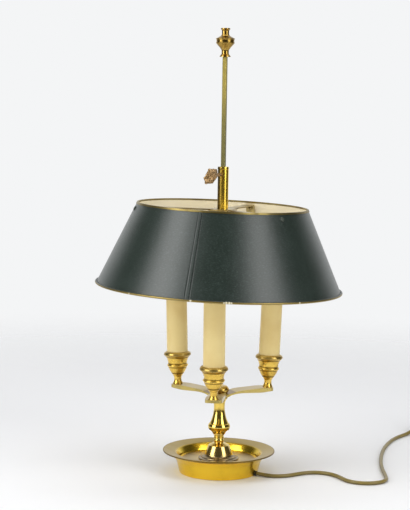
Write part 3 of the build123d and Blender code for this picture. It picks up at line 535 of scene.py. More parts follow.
# %% A node group's shell
def new_group(name, inputs, outputs):
    """Make a group with float sockets. Return it with its input and output nodes."""
    group = bpy.data.node_groups.new(name, "ShaderNodeTree")
    kind = "NodeSocketFloat"
    for label, default in inputs:
        socket = group.interface.new_socket(label, in_out="INPUT", socket_type=kind)
        socket.default_value = default
    for label in outputs:
        group.interface.new_socket(label, in_out="OUTPUT", socket_type=kind)
    given = group.nodes.new("NodeGroupInput")
    return group, given.outputs, group.nodes.new("NodeGroupOutput").inputs


def place_group(tree, group, **values):
    """Place a node group in a material, with its own values. Return its outputs."""
    made = add_node(tree, "ShaderNodeGroup", node_tree=group)
    for name, value in values.items():
        made.inputs[name.replace("_", " ")].default_value = value
    return made.outputs


print("groups can be made and placed")

# %% Patina: clouds, specks, dull hollows and bright edges
CLOUD_SPAN, SPECK_SPAN = (0.42, 0.68), (0.58, 0.72)
HOLLOW_SPAN, EDGE_SPAN = (0.495, 0.44), (0.505, 0.56)


def build_patina():
    """Masks for aged metal, and a height that is finely turned round the axis."""
    group, given, out = new_group(
        "patina",
        [("Cloud Scale", 45.0), ("Speck Scale", 900.0), ("Turning Scale", 2500.0)],
        ["Tarnish", "Specks", "Hollows", "Edges", "Turning"],
    )
    place = object_place(group)
    cloud = noise_node(group, place, given["Cloud Scale"], Detail=6.0, Roughness=0.62)
    group.links.new(ramp(group, cloud, *CLOUD_SPAN), out["Tarnish"])
    speck = noise_node(group, place, given["Speck Scale"], Detail=3.0, Roughness=0.7)
    group.links.new(ramp(group, speck, *SPECK_SPAN), out["Specks"])
    sharp = add_node(group, "ShaderNodeNewGeometry").outputs["Pointiness"]
    group.links.new(ramp(group, sharp, *HOLLOW_SPAN), out["Hollows"])
    group.links.new(ramp(group, sharp, *EDGE_SPAN), out["Edges"])
    level = add_node(group, "ShaderNodeCombineXYZ")
    group.links.new(split(group, place)["Z"], level.inputs["Z"])
    turning = noise_node(group, level.outputs[0], given["Turning Scale"], Detail=2.0)
    group.links.new(turning, out["Turning"])
    return group


patina = build_patina()
print("patina", [s.name for s in patina.interface.items_tree if s.in_out == "OUTPUT"])

# %% Grain: a fine unevenness for paint, plastic, felt and castings
DRIFT_SPAN = (0.3, 0.7)


def build_grain():
    """Two sizes of noise: a coarse drift and a fine tooth."""
    scales = [("Drift Scale", 30.0), ("Tooth Scale", 1500.0)]
    group, given, out = new_group("grain", scales, ["Drift", "Tooth"])
    place = object_place(group)
    for label, detail in (("Drift", 4.0), ("Tooth", 5.0)):
        fine = noise_node(group, place, given[label + " Scale"], Detail=detail)
        group.links.new(fine, out[label])
    return group


grain = build_grain()
print("grain", [s.name for s in grain.interface.items_tree if s.in_out == "OUTPUT"])

# %% Starting and finishing a material
def new_material(name):
    """Make a node material. Return it, its tree and its shader."""
    material = bpy.data.materials.new(name)
    material.use_nodes = True
    return material, material.node_tree, material.node_tree.nodes["Principled BSDF"]


def bump(tree, shader, height, strength, distance):
    """Raise the surface by a height socket."""
    made = add_node(tree, "ShaderNodeBump", Strength=strength, Distance=distance)
    tree.links.new(height, made.inputs["Height"])
    tree.links.new(made.outputs["Normal"], shader.inputs["Normal"])


def dress(material, *names):
    """Give CAD nodes this material."""
    for name in names:
        slots = nodes[name].data.materials
        slots.clear()
        slots.append(material)


print("materials can be made and given")


# %% [markdown]
# ## Brass
#
# The turnings are yellow brass, polished long ago. Metallic 1 and a low roughness do
# most of the work: what is seen is the studio, tinted by the metal. Tarnish lowers
# and browns the tint and spreads the reflection; hollows hold a little old polish.
# One function makes every brass, because the pieces differ only in their two tints,
# their gloss and the places where they are worn. A zone is such a place: it gives a
# mask, the tint there and how much duller it is.

# %% Brass
SPECK_TINT, HOLLOW_TINT, EDGE_TINT = (110, 92, 50), (84, 66, 26), (248, 226, 150)
SPECK_SHARE, HOLLOW_SHARE, EDGE_SHARE = 0.2, 0.7, 0.35
CLOUD_DULLING, HOLLOW_DULLING = 0.16, 0.25
TURNING_DEPTH = 0.0002


def worn(tree, tint, mask, share, colour):
    """Lay a wear colour over the tint where its mask is; share is how thickly."""
    thick = math_node(tree, "MULTIPLY", mask, share)
    return mix_colour(tree, thick, tint, linear(*colour))


def brass(name, clean, dull, roughness, tarnish, turning=0.05, zone=None, wear=1.0):
    """Return an aged brass: clean and dull are its two tints."""
    material, tree, shader = new_material(name)
    age = place_group(tree, patina)
    cloud = math_node(tree, "MULTIPLY", age["Tarnish"], tarnish)
    tint = mix_colour(tree, cloud, linear(*clean), linear(*dull))
    gloss = math_node(tree, "MULTIPLY_ADD", cloud, CLOUD_DULLING, roughness)
    for mask, colour, dulling in zone(tree) if zone else ():
        tint = mix_colour(tree, mask, tint, linear(*colour))
        gloss = math_node(tree, "ADD", gloss, math_node(tree, "MULTIPLY", mask, dulling))
    tint = worn(tree, tint, age["Specks"], SPECK_SHARE, SPECK_TINT)
    tint = worn(tree, tint, age["Hollows"], HOLLOW_SHARE * wear, HOLLOW_TINT)
    tint = worn(tree, tint, age["Edges"], EDGE_SHARE * wear, EDGE_TINT)
    tree.links.new(tint, shader.inputs["Base Color"])
    shader.inputs["Metallic"].default_value = 1
    duller = math_node(tree, "MULTIPLY", age["Hollows"], HOLLOW_DULLING * wear)
    gloss = math_node(tree, "ADD", gloss, duller)
    tree.links.new(gloss, shader.inputs["Roughness"])
    bump(tree, shader, age["Turning"], turning, TURNING_DEPTH)
    return material


polished = brass(
    "polished_brass", (240, 208, 104), (200, 168, 76), roughness=0.12, tarnish=0.4
)
dress(polished, "stem_ball", "stem_collar", "stem_baluster")
print("polished brass on the stem")


# %% [markdown]
# ## The dish and the foot
#
# Hands lift the lamp by its dish, so the brim is rubbed dull and its very edge is
# dark. The floor of the bowl is scratched by what has lain in it. The masks come from
# a point's distance from the lamp's axis and its height, so no painting is needed and
# the wear stays where it is when the outline changes.

# %% The dish: bright outside, rubbed grey on its lip and floor
DISH_LIP_R, DISH_EDGE_R, DISH_WORN_R = 50.0 * MM, 67.6 * MM, 47.0 * MM
DISH_LIP_Z, DISH_FLOOR_Z = 23.4 * MM, 17.6 * MM


def dish_wear(tree):
    """The lip is handled and dull, its very edge dark, and the floor scratched."""
    radius, height = from_axis(tree, object_place(tree))
    out = ramp(tree, radius, DISH_LIP_R, DISH_LIP_R + 5 * MM)
    high = ramp(tree, height, DISH_LIP_Z - 1.5 * MM, DISH_LIP_Z)
    lip = math_node(tree, "MULTIPLY", out, high)
    edge = ramp(tree, radius, DISH_EDGE_R, DISH_EDGE_R + 0.8 * MM)
    within = ramp(tree, radius, DISH_WORN_R, DISH_WORN_R - 3 * MM)
    low = ramp(tree, height, DISH_FLOOR_Z + 0.6 * MM, DISH_FLOOR_Z)
    floor_zone = math_node(tree, "MULTIPLY", within, low)
    return [
        (lip, (176, 152, 84), 0.13),
        (edge, (120, 98, 46), 0.1),
        (floor_zone, (176, 152, 110), 0.12),
    ]


dish_brass = brass(
    "dish_brass", (250, 212, 66), (222, 184, 54),
    roughness=0.2, tarnish=0.35, turning=0.08, zone=dish_wear,
)
dish.data.materials.append(dish_brass)
print("dish brass on", dish.name)

# %% The bell foot, on a disc that old polish has greyed
FOOT_DISC_R = 15.5 * MM


def foot_wear(tree):
    """The foot disc is grey-brown from polish that was never rinsed off."""
    radius, height = from_axis(tree, object_place(tree))
    disc = ramp(tree, radius, FOOT_DISC_R, FOOT_DISC_R + 2 * MM)
    return [(disc, (150, 132, 98), 0.12)]


foot_brass = brass(
    "foot_brass", (230, 200, 118), (196, 168, 94),
    roughness=0.17, tarnish=0.4, turning=0.08, zone=foot_wear,
)
dress(foot_brass, "stem_bell_foot")
print("foot brass on the bell foot")


# %% [markdown]
# ## The candle cups
#
# Each cup stands at the end of its arm and leans outwards a little. Old polish fills
# the grooves beside its bead and over its neck, and the dark rings there are partly
# painted shade where the profile turns under. To find the grooves, each cup's
# material measures heights along that cup's own leaning axis, with one Mapping node.

# %% Heights along a leaning cup
CUP_AZIMUTHS = {"front": -6.2, "right": 113.8, "left": 233.8}
ARM_REACH, CUP_Z, CUP_LEAN = 65.1 * MM, 102.45 * MM, math.radians(2.1)


def in_cup(tree, side):
    """Return a socket: the height above this cup's own seat."""
    azimuth = math.radians(CUP_AZIMUTHS[side])
    outward = Vector((math.sin(azimuth), -math.cos(azimuth), 0))
    up = Vector((0, 0, 1))
    across = outward * math.cos(CUP_LEAN) - up * math.sin(CUP_LEAN)
    along = outward * math.sin(CUP_LEAN) + up * math.cos(CUP_LEAN)
    turn = Matrix((across, along.cross(across), along)).transposed()
    return split(tree, in_frame(tree, outward * ARM_REACH + up * CUP_Z, turn))["Z"]


print("cups at", list(CUP_AZIMUTHS.values()), "degrees round the lamp")

# %% Grooves and rims
CUP_GROOVES = ((33.6, 1.0), (25.5, 0.7), (20.7, 0.8), (13.2, 1.3))
CUP_RIM_Z = 34.6 * MM


def widest(tree, masks):
    """Return the union of masks: at each point, the strongest of them."""
    total = masks[0]
    for mask in masks[1:]:
        total = math_node(tree, "MAXIMUM", total, mask)
    return total


def line_mask(tree, value, middle, reach, core):
    """Return a mask that is full within core of the middle and none beyond reach."""
    gap = math_node(tree, "ABSOLUTE", math_node(tree, "SUBTRACT", value, middle))
    return ramp(tree, gap, reach, core)


def cup_polish_and_shade(side):
    """Old polish and painted shade darken this cup's grooves: by the rim, by the bead,
    over the neck.
    """
    def zone(tree):
        height = in_cup(tree, side)
        rings = [
            line_mask(tree, height, groove * MM, reach * MM, 0.3 * reach * MM)
            for groove, reach in CUP_GROOVES
        ]
        rim = ramp(tree, height, CUP_RIM_Z, CUP_RIM_Z + 0.8 * MM)
        # The groove rings are old polish and, in part, painted shade where the profile
        # turns under.
        grooves = widest(tree, rings)
        return [(rim, (186, 158, 86), 0.06), (grooves, (140, 110, 46), 0.15)]
    return zone


for side in CUP_AZIMUTHS:
    cup_brass = brass(
        "cup_brass_" + side, (240, 202, 96), (206, 170, 74),
        roughness=0.24, tarnish=0.6, turning=0.1, zone=cup_polish_and_shade(side),
    )
    dress(cup_brass, "cup_" + side)
print("cup brass on", len(CUP_AZIMUTHS), "cups")


# %% [markdown]
# ## The arms, the bar and the shade's fittings
#
# The arm casting was never polished as brightly as the turnings, and dust dulls its
# upward faces: the surface's own normal finds those. The sleeve's left side and the
# bar's lower part are painted darker, a painted reflection of the dim room, and the
# finial is darker all over. These are again the same brass with other tints and zones.

# %% Where these pieces are worn or painted darker
LEVEL_FACES = (0.75, 0.95)
SLEEVE_REFLECTION_SIDE = (-1.2 * MM, -3.6 * MM)
BAR_FADE = (0.50, 0.40)


def arm_wear(tree):
    """Upward faces are dull and greyish, where dust and fingers reach."""
    normal = add_node(tree, "ShaderNodeNewGeometry").outputs["Normal"]
    return [(ramp(tree, split(tree, normal)["Z"], *LEVEL_FACES), (150, 131, 106), 0.14)]


def sleeve_painted_reflection(tree):
    """The sleeve's left side is painted darker brown: a painted reflection of the dim
    room.
    """
    side_on = split(tree, object_place(tree))["X"]
    return [(ramp(tree, side_on, *SLEEVE_REFLECTION_SIDE), (112, 92, 40), 0.1)]


def bar_painted_reflection(tree):
    """The bar is painted duller lower down: a painted reflection of the dim room."""
    height = split(tree, object_place(tree))["Z"]
    return [(ramp(tree, height, *BAR_FADE), (128, 122, 76), 0.02)]


print("bar fades from", BAR_FADE[0], "m down to", BAR_FADE[1], "m")

# %% Arms and hub
arm_brass = brass(
    "arm_brass", (158, 136, 62), (122, 106, 50),
    roughness=0.16, tarnish=0.7, turning=0.0, zone=arm_wear,
)
hub_brass = brass(
    "hub_brass", (206, 172, 84), (160, 132, 62), roughness=0.2, tarnish=0.6
)
dress(arm_brass, "arm_cross", "arm_channel_covers")
dress(hub_brass, "hub_dome")
print("arm brass and hub brass made")

# %% Bar, sleeve, spider and key
# The bar's lower part gets a painted reflection of the dim room.
bar_brass = brass(
    "bar_brass", (178, 160, 84), (142, 130, 72),
    roughness=0.34, tarnish=0.6, turning=0.1, zone=bar_painted_reflection,
)
# The sleeve's left side gets a painted reflection of the dim room.
sleeve_brass = brass(
    "sleeve_brass", (250, 214, 88), (220, 184, 70),
    roughness=0.2, tarnish=0.4, turning=0.02, zone=sleeve_painted_reflection, wear=0.0,
)
spider_brass = brass(
    "spider_brass", (138, 120, 84), (96, 82, 56),
    roughness=0.3, tarnish=0.8, turning=0.0,
)
key_brass = brass(
    "key_brass", (186, 152, 108), (132, 112, 92),
    roughness=0.42, tarnish=0.9, turning=0.1, wear=0.35,
)
dress(bar_brass, "square_bar")
dress(sleeve_brass, "shade_sleeve")
dress(spider_brass, "spider_nut", "shade_ball_nuts", "shade_spider")
cast.data.materials.clear()
cast.data.materials.append(key_brass)
print("bar, sleeve, spider and key brass made")

# %% Finial and binding
finial_brass = brass(
    "finial_brass", (182, 148, 72), (124, 100, 48),
    roughness=0.18, tarnish=0.7, wear=0.4,
)
binding_brass = brass(
    "binding_brass", (150, 134, 82), (112, 98, 58),
    roughness=0.34, tarnish=0.8, turning=0.0, wear=0.0,
)
dress(finial_brass, "finial")
dress(binding_brass, "shade_top_rim")
print("finial and binding brass made")


# %% [markdown]
# ## The shade's paint
#
# The shade is one sheet, dark green outside and warm cream inside. Two materials
# would need its faces sorted by side. Which side a point is on also follows from how
# far out it lies compared with the middle of the sheet, so one material paints both:
# it measures the distance to the cone, in the shade's own leaning frame.

# %% The shade's own frame
SHADE_HUB = Vector((0, 0, 325.0 * MM))
SHADE_TILT, LEAN_AZIMUTH = math.radians(2.0), math.radians(169)
LEAN_AXIS = Vector((math.sin(LEAN_AZIMUTH), -math.cos(LEAN_AZIMUTH), 0))
SHADE_TOP_R, SHADE_BOTTOM_R = 103.1 * MM, 147.9 * MM
SHADE_DEPTH, SHADE_TOP_RISE = 98.6 * MM, 3.8 * MM
SHEET = 0.8 * MM


def in_shade(tree):
    """Return a point's place in the shade's own leaning frame."""
    return in_frame(tree, SHADE_HUB, Matrix.Rotation(SHADE_TILT, 3, LEAN_AXIS))


def outside_mask(tree):
    """Return 1 outside the middle of the sheet, and 0 within it."""
    slope = (SHADE_BOTTOM_R - SHADE_TOP_R) / SHADE_DEPTH
    radius, height = from_axis(tree, in_shade(tree))
    fall = math_node(tree, "SUBTRACT", SHADE_TOP_RISE, height)
    middle = SHADE_TOP_R + SHEET / 2
    wall = math_node(tree, "ADD", math_node(tree, "MULTIPLY", fall, slope), middle)
    beyond = math_node(tree, "SUBTRACT", radius, wall)
    return ramp(tree, beyond, -0.05 * MM, 0.05 * MM)


print("shade leans", round(math.degrees(SHADE_TILT), 2), "degrees")


# %% [markdown]
# ## Flecks, seam and chips
#
# The green is not even: a sideways grain of paler flecks lies over it, two embossed
# lines run down the lap, and the lower bead has lost a few chips. The flecks are one
# stretched noise. The lines are angles round the shade, and a chip is a distance to a
# place, made ragged with noise.

# %% The flecked green
DEEP_GREEN, DRY_GREEN, FLECK_TINT = (24, 38, 31), (33, 46, 40), (78, 92, 86)
FLECK_PER_M, FLECK_SQUASH = 420.0, 2.2
FLECK_SHARE, FLECK_SPAN = 0.55, (0.46, 0.72)


def speckled_green(tree):
    """Return the paint's colour, its grain and its flecks: a fine sideways grain."""
    tooth = place_group(tree, grain, Drift_Scale=22.0, Tooth_Scale=1400.0)
    stretched = add_node(tree, "ShaderNodeMapping")
    stretched.inputs["Scale"].default_value = (1, 1, FLECK_SQUASH)
    tree.links.new(object_place(tree), stretched.inputs["Vector"])
    strokes = noise_node(
        tree, stretched.outputs[0], FLECK_PER_M, Detail=6.0, Roughness=0.75
    )
    drift = ramp(tree, tooth["Drift"], *DRIFT_SPAN)
    green = mix_colour(tree, drift, linear(*DEEP_GREEN), linear(*DRY_GREEN))
    flecks = ramp(tree, strokes, *FLECK_SPAN)
    return worn(tree, green, flecks, FLECK_SHARE, FLECK_TINT), tooth, strokes


print("flecks about", round(1000 / FLECK_PER_M, 1), "mm wide")

# %% The lap's two lines
SEAM_LINES = (-14.9, -12.9)
SEAM_REACH, SEAM_CORE = math.radians(0.4), math.radians(0.12)


def seam_lines(tree):
    """Return a mask of the two embossed lines that run down the lap."""
    parts = split(tree, in_shade(tree))
    front = math_node(tree, "MULTIPLY", parts["Y"], -1)
    azimuth = math_node(tree, "ARCTAN2", parts["X"], front)
    return widest(
        tree,
        [
            line_mask(tree, azimuth, math.radians(line), SEAM_REACH, SEAM_CORE)
            for line in SEAM_LINES
        ],
    )


print("lap lines at", SEAM_LINES, "degrees")

# %% Chips, and the painted shade of a dent
CHIPS = [
    ((-0.106, -0.1097, 0.233), 1.0 * MM),
    ((-0.0346, -0.1469, 0.2303), 1.3 * MM),
    ((0.0033, -0.15, 0.229), 1.1 * MM),
    ((0.0059, -0.1499, 0.2289), 1.5 * MM),
    ((0.0092, -0.1496, 0.2288), 1.5 * MM),
    ((0.0118, -0.1494, 0.2287), 1.2 * MM),
    ((0.09, -0.1178, 0.2263), 1.2 * MM),
]
# The dent itself is not shaped; its shade is painted as a near-black spot.
SHADED_DENTS = [((0.1096, -0.0203, 0.3069), 1.6 * MM)]
CHIP_RAGGED_PER_M = 900.0


def spots(tree, places):
    """Return a mask of small ragged spots at the given places and sizes."""
    place = object_place(tree)
    ragged = noise_node(tree, place, CHIP_RAGGED_PER_M, Detail=2.0)
    masks = []
    for centre, size in places:
        gap = add_node(tree, "ShaderNodeVectorMath", operation="DISTANCE")
        tree.links.new(place, gap.inputs[0])
        gap.inputs[1].default_value = centre
        bite = math_node(tree, "MULTIPLY", ragged, size)
        reach = math_node(tree, "ADD", gap.outputs["Value"], bite)
        masks.append(ramp(tree, reach, 1.5 * size, 1.2 * size))
    return widest(tree, masks)


print(len(CHIPS), "chips and", len(SHADED_DENTS), "dent")

# %% The enamel
CREAM, DEEP_CREAM = (254, 244, 214), (250, 236, 198)
DENT_SHADE_TINT, SEAM_TINT = (24, 26, 22), (18, 26, 22)
SEAM_SHARE, SEAM_DEPTH = 0.45, 2.0
PAINT_GLOSS, PAINT_GLOSS_SPREAD = 0.24, 0.14
PAINT_DEPTH = 0.0003


def enamel(name):
    """Return the shade's paint: green beyond the sheet's middle, cream within it."""
    material, tree, shader = new_material(name)
    green, tooth, strokes = speckled_green(tree)
    # Painted shade of a dent: a near-black spot on the green.
    green = mix_colour(tree, spots(tree, SHADED_DENTS), green, linear(*DENT_SHADE_TINT))
    seam = seam_lines(tree)
    green = worn(tree, green, seam, SEAM_SHARE, SEAM_TINT)
    cream = mix_colour(tree, tooth["Drift"], linear(*CREAM), linear(*DEEP_CREAM))
    paint = mix_colour(tree, outside_mask(tree), cream, green)
    tree.links.new(paint, shader.inputs["Base Color"])
    shader.inputs["Specular IOR Level"].default_value = 0.8
    gloss = math_node(tree, "MULTIPLY_ADD", strokes, PAINT_GLOSS_SPREAD, PAINT_GLOSS)
    tree.links.new(gloss, shader.inputs["Roughness"])
    raised = math_node(tree, "ADD", tooth["Tooth"], strokes)
    pressed = math_node(tree, "MULTIPLY", seam, SEAM_DEPTH)
    raised = math_node(tree, "SUBTRACT", raised, pressed)
    bump(tree, shader, raised, 0.35, PAINT_DEPTH)
    return material


dress(enamel("shade_paint"), "shade_shell")
print("enamel on the shade")

# %% The lower bead
BEAD_Z = SHADE_TOP_RISE - SHADE_DEPTH
BARE_BELOW, BARE_FULL = BEAD_Z + 1.1 * MM, BEAD_Z + 0.7 * MM
RAGGED_EDGE = 1.2 * MM
BARE_TINT, CHIP_TINT = (158, 138, 82), (226, 216, 184)


def bead_paint(name):
    """Return the bead's finish: paint above, bare brass below, and a few chips."""
    material, tree, shader = new_material(name)
    green, tooth, strokes = speckled_green(tree)
    height = split(tree, in_shade(tree))["Z"]
    ragged = math_node(tree, "MULTIPLY_ADD", strokes, RAGGED_EDGE, -RAGGED_EDGE / 2)
    line = math_node(tree, "ADD", height, ragged)
    bare = ramp(tree, line, BARE_BELOW, BARE_FULL)
    colour = mix_colour(tree, bare, green, linear(*BARE_TINT))
    chips = spots(tree, CHIPS)
    colour = mix_colour(tree, chips, colour, linear(*CHIP_TINT))
    tree.links.new(colour, shader.inputs["Base Color"])
    metal = math_node(tree, "SUBTRACT", bare, chips)
    tree.links.new(metal, shader.inputs["Metallic"])
    shader.inputs["Roughness"].default_value = 0.36
    bump(tree, shader, tooth["Tooth"], 0.3, PAINT_DEPTH)
    return material


dress(bead_paint("bead_paint"), "shade_bottom_rim")
print("paint and bare brass on the bead")


# %% [markdown]
# ## Plainer finishes
#
# Ivory tubes, moulded fittings, rubber, felt, zinc plate and cast iron are all a
# coloured base with a fine tooth. A separate tree for each would repeat the same few
# nodes, so one function makes them and only their numbers differ.

# %% A plain finish
PLAIN_SPREAD, PLAIN_DEPTH = 0.1, 0.0002


def plain(name, light, dark, roughness, tooth_scale=1500.0, height=0.1, metallic=0.0):
    """Return a finish that drifts between two colours and has a fine tooth."""
    material, tree, shader = new_material(name)
    tooth = place_group(tree, grain, Tooth_Scale=tooth_scale)
    drift = ramp(tree, tooth["Drift"], *DRIFT_SPAN)
    colour = mix_colour(tree, drift, linear(*light), linear(*dark))
    tree.links.new(colour, shader.inputs["Base Color"])
    shader.inputs["Metallic"].default_value = metallic
    gloss = math_node(tree, "MULTIPLY_ADD", tooth["Tooth"], PLAIN_SPREAD, roughness)
    tree.links.new(gloss, shader.inputs["Roughness"])
    bump(tree, shader, tooth["Tooth"], height, PLAIN_DEPTH)
    return material


print("plain finishes can be made")

# %% Ivory tubes, their holders and the bulbs' caps
ivory = plain(
    "ivory_tube", (238, 216, 150), (230, 204, 136), 0.42, tooth_scale=900.0, height=0.05
)
holder = plain("holder_plastic", (226, 220, 206), (214, 206, 190), 0.45)
nickel = plain(
    "nickel_plate", (198, 196, 190), (180, 178, 172), 0.2, height=0.05, metallic=1.0
)
for side in CUP_AZIMUTHS:
    dress(ivory, "candle_sleeve_" + side)
    dress(holder, "lampholder_" + side)
    dress(nickel, "bulb_cap_" + side)
dress(nickel, "plug_pins")
print("ivory, holder plastic and nickel made")

# %% The base's inside, the wiring and the fittings on the flex
felt = plain("felt", (44, 66, 50), (30, 50, 38), 0.95, tooth_scale=3000.0, height=0.8)
iron = plain(
    "cast_iron", (52, 50, 48), (36, 34, 33), 0.7,
    tooth_scale=700.0, height=0.6, metallic=0.6,
)
zinc = plain("zinc_plate", (176, 178, 176), (150, 152, 150), 0.32, metallic=1.0)
wire = plain("wire_cover", (150, 130, 80), (130, 112, 66), 0.5)
rubber = plain("bushing_rubber", (40, 36, 30), (26, 24, 20), 0.55)
fitting = plain(
    "fitting_plastic", (120, 104, 58), (106, 90, 48), 0.30,
    tooth_scale=1200.0, height=0.05,
)
screw_paint = plain(
    "screw_paint", (66, 74, 64), (30, 36, 30), 0.34, tooth_scale=1200.0, height=0.2
)
dress(felt, "base_felt")
dress(iron, "base_ballast")
dress(zinc, "stem_nut", "stem_washer", "stem_tube", "holder_nipples", "holder_nuts")
dress(wire, "arm_wires", "inner_lead")
dress(rubber, "cord_bushing")
dress(fitting, "switch_lower", "switch_upper", "switch_rocker", "plug_body")
dress(screw_paint, "shade_screws")
print("felt, iron, zinc, wire, rubber, fitting plastic and screw paint made")


# %% [markdown]
# ## The flex's cover
#
# A twin flex is two cores side by side, with a shallow groove where they meet. The
# curve's own UV map runs along the flex and round it, so a line at two places round
# the section is a groove from end to end, whichever way the flex bends. Object
# coordinates couldn't follow it.

# %% The flex's cover
OLIVE, DEEP_OLIVE, GROOVE_TINT = (142, 124, 62), (118, 102, 50), (84, 72, 34)
FLEX_GLOSS, FLEX_GLOSS_SPREAD, FLEX_DEPTH = 0.32, 0.1, 0.0006
GROOVE_REACH, GROOVE_CORE = 0.16, 0.04
GROOVE_SHARE, TOOTH_SHARE = 0.6, 0.1
GROOVES_ROUND, HALF = 2.0, 0.5


def flex_cover():
    """Return the flex's finish: gold-olive, grooved between its two cores."""
    material, tree, shader = new_material("flex_cover")
    tooth = place_group(tree, grain, Drift_Scale=60.0, Tooth_Scale=2500.0)
    own_map = add_node(tree, "ShaderNodeTexCoord").outputs["UV"]
    turns = math_node(
        tree, "MULTIPLY_ADD", split(tree, own_map)["Y"], GROOVES_ROUND, HALF
    )
    part = math_node(tree, "FRACT", turns)
    groove = line_mask(tree, part, HALF, GROOVE_REACH, GROOVE_CORE)
    cover = mix_colour(tree, tooth["Drift"], linear(*OLIVE), linear(*DEEP_OLIVE))
    cover = worn(tree, cover, groove, GROOVE_SHARE, GROOVE_TINT)
    tree.links.new(cover, shader.inputs["Base Color"])
    gloss = math_node(
        tree, "MULTIPLY_ADD", tooth["Tooth"], FLEX_GLOSS_SPREAD, FLEX_GLOSS
    )
    tree.links.new(gloss, shader.inputs["Roughness"])
    fine = math_node(tree, "MULTIPLY", tooth["Tooth"], TOOTH_SHARE)
    bump(tree, shader, math_node(tree, "SUBTRACT", fine, groove), 0.5, FLEX_DEPTH)
    return material


cord_curve.materials.append(flex_cover())
print("flex cover on", cord.name)


# %% [markdown]
# ## The bulbs' glass
#
# Clear glass is mostly transmission. A faint drift in its colour and gloss keeps it
# from looking like a perfect stand-in, and its metallic and transmission stay plain
# numbers, which every other program reads.

# %% Bulb glass
CLEAR, MILKY = (250, 248, 240), (238, 234, 222)
GLASS_IOR, GLASS_CLEARNESS, GLASS_GLOSS_SPREAD = 1.45, 0.9, 0.12


def bulb_glass():
    """Return clear glass with a faint milky drift."""
    material, tree, shader = new_material("bulb_glass")
    drift = place_group(tree, grain, Drift_Scale=40.0, Tooth_Scale=800.0)["Drift"]
    colour = mix_colour(tree, drift, linear(*CLEAR), linear(*MILKY))
    tree.links.new(colour, shader.inputs["Base Color"])
    shader.inputs["Transmission Weight"].default_value = GLASS_CLEARNESS
    shader.inputs["IOR"].default_value = GLASS_IOR
    gloss = math_node(tree, "MULTIPLY", drift, GLASS_GLOSS_SPREAD)
    tree.links.new(gloss, shader.inputs["Roughness"])
    return material


glass = bulb_glass()
for side in CUP_AZIMUTHS:
    dress(glass, "bulb_glass_" + side)
print("glass on", len(CUP_AZIMUTHS), "bulbs")


# %% [markdown]
# ## The floor
#
# The lamp stands on a pale floor that fades into the background. A hard far edge
# would draw a line behind the lamp, so the floor's paint turns see-through with
# distance, and the backdrop's colour takes over. Near the lamp it keeps the shadow.

# %% Floor
FLOOR_SIZE = 8.0
FLOOR_GONE, FLOOR_FULL = 1.5, 0.4
FLOOR_TINT, FLOOR_TINT_PALER = (247, 247, 248), (250, 250, 251)


def floor_material():
    """Return the floor's paint: pale near the lamp, and see-through far from it."""
    material, tree, shader = new_material("studio_floor")
    drift = place_group(tree, grain, Drift_Scale=3.0, Tooth_Scale=300.0)["Drift"]
    colour = mix_colour(tree, drift, linear(*FLOOR_TINT), linear(*FLOOR_TINT_PALER))
    tree.links.new(colour, shader.inputs["Base Color"])
    shader.inputs["Roughness"].default_value = 0.6
    distance = add_node(tree, "ShaderNodeVectorMath", operation="LENGTH")
    tree.links.new(object_place(tree), distance.inputs[0])
    solid = ramp(tree, distance.outputs["Value"], FLOOR_GONE, FLOOR_FULL)
    tree.links.new(solid, shader.inputs["Alpha"])
    return material


floor_mesh = bpy.data.meshes.new("studio_floor")
shape = bmesh.new()
bmesh.ops.create_grid(shape, x_segments=1, y_segments=1, size=FLOOR_SIZE / 2)
shape.to_mesh(floor_mesh)
shape.free()
floor = bpy.data.objects.new("studio_floor", floor_mesh)
bpy.context.scene.collection.objects.link(floor)
floor_mesh.materials.append(floor_material())
print("floor", FLOOR_SIZE, "m across")


# %% [markdown]
# ## The world
#
# The world gives an even pale light, and is seen as the pale backdrop behind the
# lamp. Mirror-like metal shows that backdrop too, but the room on the camera's side
# is unlit, and it is this dim part that gives brass its dark lines. Light Path tells
# the rays apart, so the white backdrop is seen and mirrored but doesn't light the lamp.

# %% World
BACKDROP = linear(244, 245, 246)
ROOM = (0.075, 0.07, 0.065)
DAYLIGHT = (0.9, 0.92, 0.95)
AMBIENT = 0.34
BACKDROP_BEGINS, BACKDROP_FULL = 0.45, 0.85


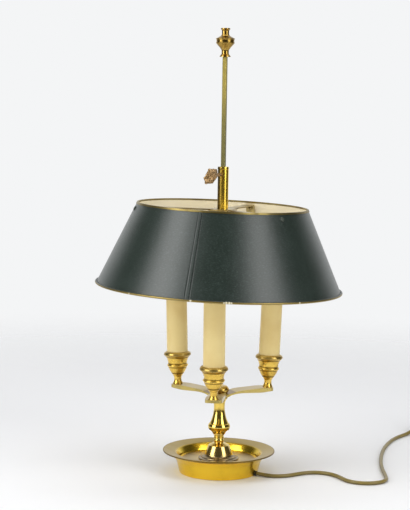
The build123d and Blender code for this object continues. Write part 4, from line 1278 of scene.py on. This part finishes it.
def light_the_world(tree):
    """Give the world its backdrop, its dim room and its even light."""
    background = tree.nodes["Background"]
    rays = add_node(tree, "ShaderNodeLightPath").outputs
    heading = add_node(tree, "ShaderNodeTexCoord").outputs["Generated"]
    behind = ramp(tree, split(tree, heading)["Y"], BACKDROP_BEGINS, BACKDROP_FULL)
    mirrored = mix_colour(tree, behind, ROOM, BACKDROP)
    direct = math_node(
        tree, "MAXIMUM", rays["Is Camera Ray"], rays["Is Transmission Ray"]
    )
    seen = mix_colour(tree, direct, mirrored, BACKDROP)
    by_rays = math_node(tree, "MAXIMUM", direct, rays["Is Glossy Ray"])
    colour = mix_colour(tree, by_rays, DAYLIGHT, seen)
    tree.links.new(colour, background.inputs["Color"])
    strength = math_node(tree, "MULTIPLY_ADD", by_rays, 1 - AMBIENT, AMBIENT)
    tree.links.new(strength, background.inputs["Strength"])


world = bpy.data.worlds.new("studio")
bpy.context.scene.world = world
world.use_nodes = True
light_the_world(world.node_tree)
print("world's even light is", AMBIENT, "of white")


# %% [markdown]
# ## The lamps
#
# A tall soft box stands on each side of the camera, and one hangs above. The two
# upright ones are what polished brass shows: each makes one upright streak on every
# turning. Point lights would leave dots instead. Energy is worked out from the box's
# area, so a glow of 1 always means white, however large the box.

# %% Lamps
AIM = Vector((0, 0, 0.25))


def soft_box(name, azimuth, distance, height, width, tall, glow):
    """Hang a soft box aimed at the lamp; azimuth 0 is on the camera's side."""
    data = bpy.data.lights.new(name, "AREA")
    data.shape = "RECTANGLE"
    data.size, data.size_y = width, tall
    data.energy = glow * math.pi * width * tall
    lamp = bpy.data.objects.new(name, data)
    angle = math.radians(azimuth)
    lamp.location = (distance * math.sin(angle), -distance * math.cos(angle), height)
    lamp.rotation_euler = (AIM - lamp.location).to_track_quat("-Z", "Y").to_euler()
    bpy.context.scene.collection.objects.link(lamp)
    print(name, round(data.energy, 1), "W")


soft_box("box_left", -59, 2.0, height=1.15, width=1.2, tall=2.0, glow=4.0)
soft_box("box_right", 50, 2.0, height=1.1, width=0.95, tall=1.9, glow=3.5)
soft_box("box_top", 180, 0.12, height=2.2, width=2.7, tall=1.1, glow=2.2)
bpy.context.scene.view_settings.view_transform = "Standard"


# %% Finish
bpy.context.view_layer.update()
